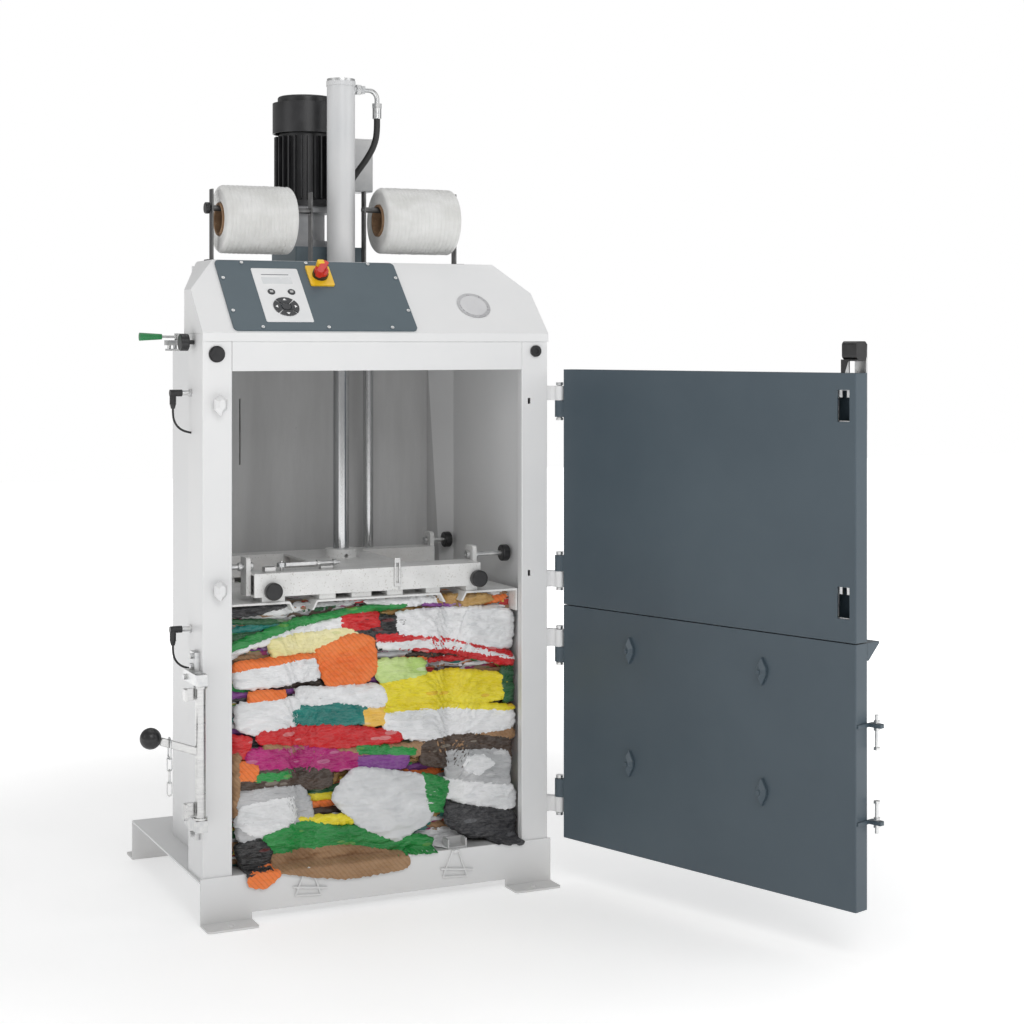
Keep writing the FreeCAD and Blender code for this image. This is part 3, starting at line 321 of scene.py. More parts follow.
HOSE = [(531, 283, 1887), (532, 284, 1853), (527, 293, 1820), (514, 308, 1789), (497, 325, 1760),
        (479, 339, 1729), (463, 349, 1695), (450, 356, 1662), (442, 361, 1630), (440, 362, 1600)]
hose = cord_curve("hydraulic_hose_skin", HOSE, 0.008, hose_m)
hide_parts("hydraulic_hose")
for tag, z0 in (("upper", 1208), ("lower", 663)):
    line = [(-43, 96, z0 - 36), (-43, 96, z0 - 52), (-39, 96, z0 - 68), (-29, 96, z0 - 81),
            (-15, 96, z0 - 89), (-0.1, 96, z0 - 92)]
    cable = cord_curve(f"sensor_cable_{tag}_skin", line, 0.0025, hose_m)
    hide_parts(f"sensor_cable_{tag}")


# -------------------------------------------------- finishes of the frame
paint("base_frame", [grey])
for n in ("left_post", "right_post", "header_fascia", "hood"):
    paint(n, [grey])
# faces inside the chamber take the darker coat, which is painted shade
for n in ("left_side_wall", "right_side_wall"):
    paint(n, [grey, inner_scuffed_and_shaded], lambda c, nr: 1 if -0.36 < c.x < 0.36 and c.z < 1.26 else 0)
paint("back_wall", [grey, inner_scuffed_and_shaded], lambda c, nr: 1 if nr.y < 0 else 0)
paint("chamber_floor", [inner_scuffed_and_shaded])
paint("crown_plate", [inner_scuffed_and_shaded])
paint("control_panel", [panel])
paint("keypad_foil", [foil])
paint("panel_screws", [zinc])
paint("key_menu", [keys])
paint("key_enter", [keys])
paint("arrow_keys", [keys, foil], lambda c, nr: 1 if ((c.z * 1000 - 1347) - (c.y * 1000 + 316.3 + 3.5)) / 1.41421 < 4.6 else 0)
paint("key_stop", [keys])
paint("cylinder", [ram_m, zinc], lambda c, nr: 1 if c.z > 1.975 else 0)
paint("hose_fitting", [zinc])
paint("oil_tank", [tank_m])
paint("bell_housing", [cast])
paint("fan_cover", [black])
paint("motor", [black, box_m], lambda c, nr: 1 if c.x > W(484, 0, 0).x - 0.001 and c.y > W(0, 419, 0).y - 0.001 and W(0, 0, 1713).z < c.z < W(0, 0, 1853).z else 0)
paint("roll_holders", [dark_steel, plastic], lambda c, nr: 1 if c.x < W(95, 0, 0).x else 0)
paint("hinge_arms", [grey, zinc], lambda c, nr: 1 if (W(880, 0, 0).x < c.x and abs(nr.z) < 0.5 and c.y < W(0, 8, 0).y and (c.x - W(899, 0, 0).x) ** 2 + (c.y - W(0, -10, 0).y) ** 2 < 0.0095 ** 2) else 0)
paint("post_catches", [grey])
paint("lock_brackets", [zinc])
paint("lock_shaft", [steel])
paint("lock_knob", [grey, plastic], lambda c, nr: 1 if c.x < W(-102, 0, 0).x else 0)
paint("door_switches", [zinc])
paint("switch_plugs", [plastic])
paint("clamp_base", [zinc])
paint("clamp_handle", [zinc, green_p], lambda c, nr: 1 if c.x < W(-52, 0, 0).x else 0)
paint("adjusting_knob", [plastic])
paint("frame_bolts", [zinc, plastic], lambda c, nr: 0)
paint("strap_hooks", [grey])
paint("platen_trays", [platen_m])
paint("platen_beams", [platen_m])
paint("platen_fittings", [steel])
paint("guide_pads", [zinc, plastic])
paint("piston_rod", [chrome])
paint("guide_rod", [chrome])
paint("strap_lever", [zinc])
paint("upper_door", [door])
paint("lower_door", [door])
paint("upper_latch", [zinc, plastic], lambda c, nr: 1 if c.z > 1.2625 else 0)
paint("lock_bolts", [zinc])
paint("retaining_claws", [door])
paint("snap_hook", [zinc])
for i in (1, 2, 3):
    paint(f"chain_link_{i}", [zinc])
paint("switch_base", [yellow, plastic], lambda c, nr: 1 if ((c.z * 1000 - 1347) - (c.y * 1000 + 316.3 + 3.5)) / 1.41421 > 8.2 else 0)
paint("switch_knob", [red, yellow])


def shells(node):
    """Loose parts of a CAD node: for each face, the part's number, and each part's box."""
    me = nodes[node].data
    key, root = {}, list(range(len(me.vertices)))

    def find(i):
        while root[i] != i:
            root[i] = root[root[i]]
            i = root[i]
        return i
    for v in me.vertices:
        k = (round(v.co.x, 5), round(v.co.y, 5), round(v.co.z, 5))
        if k in key:
            root[find(v.index)] = find(key[k])
        else:
            key[k] = v.index
    for p in me.polygons:
        a = find(p.vertices[0])
        for i in p.vertices[1:]:
            root[find(i)] = a
            a = find(a)
    number, boxes, of_face = {}, {}, []
    for p in me.polygons:
        r = find(p.vertices[0])
        n = number.setdefault(r, len(number))
        of_face.append(n)
        lo, hi = boxes.setdefault(n, ([9e9] * 3, [-9e9] * 3))
        for i in p.vertices:
            for k in range(3):
                lo[k] = min(lo[k], me.vertices[i].co[k])
                hi[k] = max(hi[k], me.vertices[i].co[k])
    return of_face, boxes


def paint_shells(node, mats, rule):
    paint(node, mats)
    of_face, boxes = shells(node)
    for p, n in zip(nodes[node].data.polygons, of_face):
        p.material_index = rule(*boxes[n])


paint_shells("guide_pads", [zinc, plastic], lambda lo, hi: 1 if sorted(b - a for a, b in zip(lo, hi))[1] > 0.036 else 0)
paint_shells("frame_bolts", [zinc, black], lambda lo, hi: 1 if hi[2] > 1.29 and lo[1] < -0.318 else 0)

# ----------------------------------------------------------- bare labels
def plate(name, outline, thick, mats, place, body="root"):
    """A thin plate with a rounded rim: outline in mm, placed by place(u, v, height in mm)."""
    n = len(outline)
    cx = sum(p[0] for p in outline) / n
    cy = sum(p[1] for p in outline) / n
    rings = [(1.0, 0.0), (1.0, thick * 0.6), (0.985, thick)]
    verts = [place(cx, cy, 0.0)]
    for s, h in rings:
        for u, v in outline:
            verts.append(place(cx + (u - cx) * s, cy + (v - cy) * s, h))
    verts.append(place(cx, cy, thick))
    faces = []
    for i in range(n):
        j = (i + 1) % n
        faces.append((0, 1 + j, 1 + i))
        for k in range(2):
            a, b = 1 + k * n, 1 + (k + 1) * n
            faces.append((a + i, a + j, b + j, b + i))
        faces.append((1 + 2 * n + i, 1 + 2 * n + j, 1 + 3 * n))
    return obj_from(name, verts, faces, mats, body, smooth=False)


def rrect(u0, v0, u1, v1, r, k=5):
    pts = []
    for cx, cy, a0 in ((u1 - r, v1 - r, 0), (u0 + r, v1 - r, 90), (u0 + r, v0 + r, 180), (u1 - r, v0 + r, 270)):
        for i in range(k + 1):
            a = math.radians(a0 + 90 * i / k)
            pts.append((cx + r * math.cos(a), cy + r * math.sin(a)))
    return pts


def on_front(y):
    return lambda u, v, h: W(u, y - h, v)


def on_slope(n0):
    s2 = math.sqrt(0.5)
    return lambda u, s, h: W(u, -3.5 + s2 * (s - n0 - h), 1347 + s2 * (s + n0 + h))


# the hood's bare round label, the keypad's plain lines and arrows, the switch's tip
hx, hs = 700.0, 96.0
face_m = surface("disc_face", (0.56, 0.56, 0.57), (0.62, 0.62, 0.63), rough=0.3, rvar=0.06, scale=20, grain=1500, bump=0.05, radius=0.0004)
plate("hood_disc", [(hx + 43 * math.cos(2 * math.pi * i / 48), hs + 43 * math.sin(2 * math.pi * i / 48)) for i in range(48)],
      0.4, [disc_m], on_slope(0.6))
plate("hood_disc_face", [(hx + 34 * math.cos(2 * math.pi * i / 48), hs + 34 * math.sin(2 * math.pi * i / 48)) for i in range(48)],
      0.3, [face_m], on_slope(1.0))
line_m = surface("foil_line", (0.10, 0.11, 0.12), (0.14, 0.15, 0.16), rough=0.4, scale=60, grain=1500, bump=0.06, radius=0.0003)
window_m = surface("foil_window", (0.60, 0.62, 0.63), (0.66, 0.67, 0.68), rough=0.25, scale=30, grain=1500, bump=0.05, radius=0.0003)
foil_top = max(((v.co.z * 1000 - 1347) - (v.co.y * 1000 + 316.3 + 3.5)) / math.sqrt(2) for v in nodes["keypad_foil"].data.vertices)
plate("keypad_line", rrect(178, 190, 246, 192.2, 0.8), 0.25, [line_m], on_slope(foil_top + 0.03))
plate("keypad_window", rrect(176, 160, 250, 182, 2.0), 0.2, [window_m], on_slope(foil_top + 0.03))
for k in range(4):
    a = math.radians(90 * k)
    ux, us = math.cos(a), math.sin(a)
    tip = [(215.5 + ux * r - us * t, 81.5 + us * r + ux * t) for r, t in ((27.0, 0.0), (20.5, 4.6), (20.5, -4.6))]
    plate(f"arrow_mark_{k + 1}", tip, 0.25, [label_m], on_slope(6.65), "arrow_pad")
for tag, ku, body in (("menu", 190.5, "menu_key"), ("enter", 240.0, "enter_key")):
    for q in (-2.4, 0.0, 2.4):
        plate(f"{tag}_mark_{int(q * 10 + 24)}", rrect(ku - 4, 132 + q - 0.6, ku + 4, 132 + q + 0.6, 0.4), 0.2, [label_m], on_slope(6.65), body)
s2 = math.sqrt(0.5)


def slope_block(name, u0, u1, v0, v1, n0, n1, mats, body, r=0.002):
    """A rounded block standing on the sloping panel."""
    o = rounded_block(name, (u0 / 1000, v0 / 1000, n0 / 1000), (u1 / 1000, v1 / 1000, n1 / 1000), mats, body, r)
    for v in o.data.vertices:
        u, q, n = (c * 1000 for c in v.co)
        v.co = W(u, -3.5 + s2 * (q - n), 1347 + s2 * (q + n))
    return o


slope_block("switch_tip", 315.6, 332.4, 197.0, 212.6, 19.6, 38.5, [yellow], "main_switch", 0.0025)

# strips behind the back wall's slots, so that no daylight shows through the chamber
for tag, z0, z1 in (("upper", 1004, 1186), ("lower", 294, 486)):
    rounded_block(f"seam_strip_{tag}", W(240, 544.4, z0), W(264, 546.8, z1), [dark_steel], "root", 0.0008)

# -------------------------------------------------------------- strap rolls
def strap_mat():
    m, nt, s = new_mat("strap_white")
    n = tex(nt, "ShaderNodeTexNoise", 26.0, (0.6, 1, 1), Detail=5.0)
    c = ramp(nt, n.outputs[0], [(0.35, (0.74, 0.74, 0.72)), (0.65, (0.86, 0.86, 0.85))])
    w = tex(nt, "ShaderNodeTexWave", 560.0, (1, 0.02, 0.02), wave_type="BANDS", bands_direction="X", Distortion=1.2, Detail=2.0)
    c2 = mixc(nt, mathn(nt, "MULTIPLY", w.outputs[1], 0.45), c, (0.50, 0.50, 0.48))
    nt.links.new(c2, s.inputs["Base Color"])
    bp = nt.nodes.new("ShaderNodeBump")
    bp.inputs["Strength"].default_value = 0.5
    bp.inputs["Distance"].default_value = 0.0006
    nt.links.new(w.outputs[1], bp.inputs["Height"])
    nt.links.new(bp.outputs[0], s.inputs["Normal"])
    s.inputs["Roughness"].default_value = 0.42
    s.inputs["Sheen Weight"].default_value = 0.25
    return m


strap_m = strap_mat()


def strap_roll(tag, x0, x1, zc, body):
    yc, R, r0 = 260.0, 84.0, 40.2
    nx, na = 110, 128
    rnd = random.Random(4)
    wob = [rnd.uniform(-1, 1) for _ in range(40)]
    verts, rings = [], []

    def ring(x, rad, amp):
        row = []
        for k in range(na):
            a = 2 * math.pi * k / na
            t = (x - x0) / 10.5
            h = abs(math.sin(math.pi * (t + a / (2 * math.pi)))) ** 0.5
            g = abs(math.sin(math.pi * (t * 0.93 - a / (2 * math.pi) + 0.37))) ** 0.5
            pick = h if noise.noise(Vector((x / 30, math.cos(a) * 1.3, math.sin(a) * 1.3))) > 0 else g
            rr = rad - amp * (1 - pick) * 1.5 - amp * 0.5 * (1 - noise.noise(Vector((x / 18, math.cos(a) * 2, math.sin(a) * 2))))
            row.append(len(verts))
            verts.append(W(x, yc + rr * math.sin(a), zc + rr * math.cos(a)))
        rings.append(row)
    L = x1 - x0
    for i in range(14):                      # left end: edges of the wound turns
        f = i / 13
        rad = r0 + (R - 12 - r0) * f
        ring(x0 + 4.5 - 3.2 * f + 0.9 * math.sin(f * 39) + 0.4 * wob[i], rad, 0.15)
    for i in range(1, 8):                    # shoulder
        a = math.pi / 2 * i / 8
        ring(x0 + 1.3 + 12 * (1 - math.cos(a)), R - 12 + 12 * math.sin(a) - 0.6, 0.5)
    for i in range(nx + 1):
        x = x0 + 13.5 + (L - 27) * i / nx
        ring(x, R - 0.2 - 1.4 * (abs(2 * (x - x0) / L - 1) ** 6), 1.5)
    for i in range(7, 0, -1):
        a = math.pi / 2 * i / 8
        ring(x1 - 1.3 - 12 * (1 - math.cos(a)), R - 12 + 12 * math.sin(a) - 0.6, 0.5)
    for i in range(13, -1, -1):
        f = i / 13
        ring(x1 - 4.5 + 3.2 * f - 0.9 * math.sin(f * 39) - 0.4 * wob[i + 14], r0 + (R - 12 - r0) * f, 0.15)
    rings.append(rings[0])                   # back through the bore, round the core
    faces = []
    for a, b in zip(rings, rings[1:]):
        for k in range(na):
            j = (k + 1) % na
            faces.append((a[k], a[j], b[j], b[k]))
    roll = obj_from(f"strap_wound_{tag}", verts, faces, [strap_m], body)
    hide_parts(f"strap_roll_{tag}")
    v2, f2, prof = [], [], [(x0 + 0.2, 34.0), (x0, 34.6), (x0, 39.4), (x0 + 0.3, 40.0), (x1 - 0.3, 40.0), (x1, 39.4), (x1, 34.6), (x1 - 0.2, 34.0)]
    n = 72
    for x, r in prof:
        for k in range(n):
            a = 2 * math.pi * k / n
            v2.append(W(x, yc + r * math.sin(a), zc + r * math.cos(a)))
    m = len(prof)
    for i in range(m):
        for k in range(n):
            j = (k + 1) % n
            b = (i + 1) % m
            f2.append((i * n + k, i * n + j, b * n + j, b * n + k))
    core = obj_from(f"strap_core_{tag}", v2, f2, [board], body, smooth=False)
    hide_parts(f"strap_roll_{tag}")


strap_roll("left", 112, 294, 1623, "left_roll")
strap_roll("right", 522, 722, 1630, "right_roll")

# --------------------------------------------------------------- the bale
def film(name, a, b, rough=0.34, bump=0.6, coat=0.06, card=False, prints=None, spots=0.0):
    """Crushed packaging: a sheet's colour, a printed second tone, creases, and lighter crease lines, partly whitened
    film and partly painted highlight.
    """
    m, nt, s = new_mat(name)
    n1 = tex(nt, "ShaderNodeTexNoise", 9.0, (1, 1, 2.0), Detail=5.0, Roughness=0.6)
    c = ramp(nt, n1.outputs[0], [(0.35, a), (0.65, b)])
    if prints:
        v = tex(nt, "ShaderNodeTexVoronoi", 15.0, (0.8, 0.3, 2.6))
        edge = ramp(nt, v.outputs["Distance"], [(0.0, (1, 1, 1)), (0.20, (0, 0, 0))], True)
        c = mixc(nt, mathn(nt, "MULTIPLY", edge, spots * 0.8), c, prints)
    cr = tex(nt, "ShaderNodeTexNoise", 70.0, (0.5, 1, 1.8), Detail=8.0, Roughness=0.65)
    cm = ramp(nt, cr.outputs[0], [(0.42, (0, 0, 0)), (0.50, (1, 1, 1)), (0.58, (0, 0, 0))])
    # lighter lines along the creases: partly whitened film, partly painted highlight
    crease_whitening_and_highlight = mixc(nt, 0.16 if not card else 0.10, c, (0.85, 0.84, 0.82))
    c = mixc(nt, mathn(nt, "MULTIPLY", cm, 0.35), c, crease_whitening_and_highlight)
    nt.links.new(c, s.inputs["Base Color"])
    r = nt.nodes.new("ShaderNodeMapRange")
    r.inputs["To Min"].default_value = rough - 0.1
    r.inputs["To Max"].default_value = rough + 0.16
    nt.links.new(cr.outputs[0], r.inputs[0])
    nt.links.new(r.outputs[0], s.inputs["Roughness"])
    wr = tex(nt, "ShaderNodeTexVoronoi", 95.0, (0.45, 1, 1.7), feature="DISTANCE_TO_EDGE")
    h = mathn(nt, "ADD", mathn(nt, "MULTIPLY", wr.outputs["Distance"], 1.6), mathn(nt, "MULTIPLY", cr.outputs[0], 1.4))
    if card:
        flute = tex(nt, "ShaderNodeTexWave", 52.0, (1, 0.05, 0.9), wave_type="BANDS", bands_direction="DIAGONAL", Distortion=0.8)
        h = mathn(nt, "ADD", mathn(nt, "MULTIPLY", h, 0.4), mathn(nt, "MULTIPLY", flute.outputs[1], 0.8))
        # darker lines in the flute troughs: painted shade in the grooves
        dark = mixc(nt, 0.35, c, (0.02, 0.01, 0.0))
        lines = nt.nodes.new("ShaderNodeMix")
        lines.data_type = "RGBA"
        nt.links.new(ramp(nt, flute.outputs[1], [(0.0, (0.45, 0.45, 0.45)), (0.35, (0, 0, 0))]), lines.inputs[0])
        nt.links.new(c, lines.inputs[6])
        nt.links.new(dark, lines.inputs[7])
        nt.links.new(lines.outputs[2], s.inputs["Base Color"])
    bp = nt.nodes.new("ShaderNodeBump")
    bp.inputs["Strength"].default_value = bump
    bp.inputs["Distance"].default_value = 0.0034 if not card else 0.0016
    nt.links.new(h, bp.inputs["Height"])
    nt.links.new(bp.outputs[0], s.inputs["Normal"])
    s.inputs["Coat Weight"].default_value = coat
    s.inputs["Coat Roughness"].default_value = 0.22
    s.inputs["Specular IOR Level"].default_value = 0.25 if card else 0.38
    return m


KEYS = ["white", "grey", "silver", "dark", "black", "brown", "kraft", "orange", "amber", "yellow", "paleyellow",
        "red", "magenta", "violet", "green", "darkgreen", "lightgreen", "teal", "brownfoil"]
F = {
    "white": film("film_white", (0.72, 0.73, 0.74), (0.86, 0.86, 0.87), 0.30, prints=(0.50, 0.52, 0.55), spots=0.35),
    "grey": film("film_grey", (0.36, 0.37, 0.38), (0.55, 0.55, 0.56), 0.32, prints=(0.80, 0.80, 0.80), spots=0.4),
    "silver": film("film_silver", (0.60, 0.61, 0.62), (0.70, 0.71, 0.72), 0.38, bump=0.22, coat=0.1),
    "dark": film("film_dark", (0.016, 0.016, 0.019), (0.045, 0.045, 0.05), 0.28, prints=(0.35, 0.36, 0.38), spots=0.3),
    "black": film("film_black", (0.010, 0.010, 0.011), (0.024, 0.024, 0.026), 0.26, prints=(0.55, 0.02, 0.02), spots=0.2),
    "brown": film("film_brown", (0.030, 0.018, 0.012), (0.075, 0.045, 0.03), 0.30, prints=(0.50, 0.46, 0.38), spots=0.35),
    "kraft": film("card_kraft", (0.29, 0.165, 0.085), (0.40, 0.245, 0.135), 0.80, 0.5, 0.0, True),
    "orange": film("card_orange", (0.80, 0.17, 0.035), (0.86, 0.23, 0.06), 0.62, 0.45, 0.0, True),
    "amber": film("film_amber", (0.82, 0.45, 0.05), (0.88, 0.58, 0.12), 0.34, prints=(0.8, 0.78, 0.7), spots=0.3),
    "yellow": film("film_yellow", (0.76, 0.60, 0.006), (0.84, 0.72, 0.03), 0.34, prints=(0.62, 0.05, 0.03), spots=0.35),
    "paleyellow": film("film_pale_yellow", (0.80, 0.72, 0.30), (0.86, 0.80, 0.46), 0.34, prints=(0.40, 0.55, 0.10), spots=0.3),
    "red": film("film_red", (0.50, 0.004, 0.008), (0.66, 0.010, 0.014), 0.28, prints=(0.82, 0.80, 0.80), spots=0.3),
    "magenta": film("film_magenta", (0.34, 0.002, 0.12), (0.50, 0.008, 0.19), 0.28, prints=(0.80, 0.62, 0.70), spots=0.25),
    "violet": film("film_violet", (0.17, 0.03, 0.22), (0.27, 0.07, 0.32), 0.30, prints=(0.7, 0.66, 0.72), spots=0.3),
    "green": film("film_green", (0.004, 0.20, 0.035), (0.015, 0.30, 0.055), 0.30, prints=(0.45, 0.60, 0.10), spots=0.25),
    "darkgreen": film("film_dark_green", (0.008, 0.07, 0.025), (0.02, 0.13, 0.04), 0.28, prints=(0.6, 0.6, 0.5), spots=0.3),
    "lightgreen": film("film_light_green", (0.42, 0.62, 0.14), (0.62, 0.76, 0.32), 0.34, prints=(0.82, 0.82, 0.75), spots=0.4),
    "teal": film("film_teal", (0.004, 0.15, 0.13), (0.015, 0.25, 0.21), 0.28, prints=(0.7, 0.75, 0.72), spots=0.2),
    "brownfoil": film("film_foil", (0.30, 0.14, 0.03), (0.62, 0.40, 0.14), 0.24, prints=(0.10, 0.05, 0.02), spots=0.6),
}
MATS = [F[k] for k in KEYS]


def nz(x, y, z):
    return noise.noise(Vector((x, y, z)))


def front(x, z):
    """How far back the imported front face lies, in mm: pulled in at the two tie grooves, bulging between."""
    y = 42.0
    for g in (249.0, 629.0):
        y += 15.0 * math.exp(-((x - g) / 24.0) ** 2)
    y += 4.0 * nz(x / 130.0, 3.1, z / 40.0)
    y += 10.0 * math.exp(-((x - 62.0) / 22.0) ** 2) + 10.0 * math.exp(-((x - 808.0) / 22.0) ** 2)
    return y


def chaikin(p, times=2):
    for k in range(times):
        c = 0.12 if k == 0 else 0.25
        q = []
        for i in range(len(p)):
            a, b = p[i], p[(i + 1) % len(p)]
            q.append((a[0] * (1 - c) + b[0] * c, a[1] * (1 - c) + b[1] * c))
            q.append((a[0] * c + b[0] * (1 - c), a[1] * c + b[1] * (1 - c)))
        p = q
    return p


def scrap(poly, seed, step=5.0, puff=4.0, layer=0.0, fold=1.0, angle=None, rag=2.0, grow=1.1):
    """One crushed sheet on the bale's front: vertices in mm and triangles."""
    rnd = random.Random(seed)
    ol = []
    cx = sum(q[0] for q in poly) / len(poly)
    cz = sum(q[1] for q in poly) / len(poly)
    poly = [(min(max(cx + (q[0] - cx) * grow, 64), 806), min(cz + (q[1] - cz) * grow, 713)) for q in poly]
    base = chaikin(poly)
    for i in range(len(base)):
        a, b = Vector(base[i]), Vector(base[(i + 1) % len(base)])
        n = max(1, int((b - a).length / step))
        for k in range(n):
            p = a.lerp(b, k / n)
            ol.append(Vector((p.x + rag * nz(p.x / 9, seed, p.y / 9) * 2, p.y + rag * nz(p.x / 9, seed + 50, p.y / 9) * 2)))
    xs, ys = [p.x for p in ol], [p.y for p in ol]

    def inside(x, y):
        r = False
        j = len(ol) - 1
        for i in range(len(ol)):
            if (ol[i].y > y) != (ol[j].y > y) and x < (ol[j].x - ol[i].x) * (y - ol[i].y) / (ol[j].y - ol[i].y) + ol[i].x:
                r = not r
            j = i
        return r

    def rim(x, y):
        return min((x - p.x) ** 2 + (y - p.y) ** 2 for p in ol) ** 0.5
    pts, dist = list(ol), [0.0] * len(ol)
    y = min(ys)
    row = 0
    while y < max(ys):
        x = min(xs) + (row % 2) * step * 0.5
        while x < max(xs):
            px, py = x + rnd.uniform(-0.2, 0.2) * step, y + rnd.uniform(-0.2, 0.2) * step
            if inside(px, py):
                d = rim(px, py)
                if d > step * 0.55:
                    pts.append(Vector((px, py)))
                    dist.append(d)
            x += step
        y += step * 0.87
        row += 1
    n = len(ol)
    vo, eo, fo, ov, oe, of_ = delaunay_2d_cdt(pts, [(i, (i + 1) % n) for i in range(n)], [], 1, 1e-4)
    if angle is None:
        angle = rnd.uniform(-0.35, 0.35)
    ca, sa = math.cos(angle), math.sin(angle)
    verts = []
    for v, src in zip(vo, ov):
        d = dist[src[0]] if src else rim(v.x, v.y)
        u, w = (v.x * ca + v.y * sa), (-v.x * sa + v.y * ca)
        t = 1 - math.exp(-d / 4.0)
        g = max(math.exp(-((v.x - q) / 30.0) ** 2) for q in (249.0, 629.0))
        z2 = v.y + 10.0 * nz(v.x / 70, 1.7, v.y / 60)
        x2 = v.x + 8.0 * nz(v.x / 45, 5.2, v.y / 25)
        f = 1.0 + 0.2 * g
        crease = 5.0 * (0.55 - 2.4 * abs(nz(x2 / 120, 3.3, z2 * f / 19))) + 3.4 * (0.5 - 2.6 * abs(nz(x2 / 46 + z2 / 34, 1.7, z2 * f / 13 - x2 / 90)))
        crease += 1.3 * (0.5 - 2.6 * abs(nz(x2 / 24 - z2 / 18, 4.4, z2 * f / 11 + x2 / 40)))
        yy = front(v.x, v.y) + 6.0 - layer - crease + 9.0 * math.exp(-d / 2.0) - puff * 0.3
        if v.y < 112.6:                      # hangs over the sill, under the closed door
            k = min(1.0, (112.6 - v.y) / 2.6)
            yy = yy * (1 - k) + (-8.0 - 0.25 * (t * puff + fold * max(crease, 0.0)) - layer * 0.2) * k
            yy = min(yy, -6.6) if v.y < 110.0 else yy
        else:
            yy = max(yy, 3.0)
        verts.append((v.x, yy, v.y))
    return verts, [tuple(f) for f in fo]

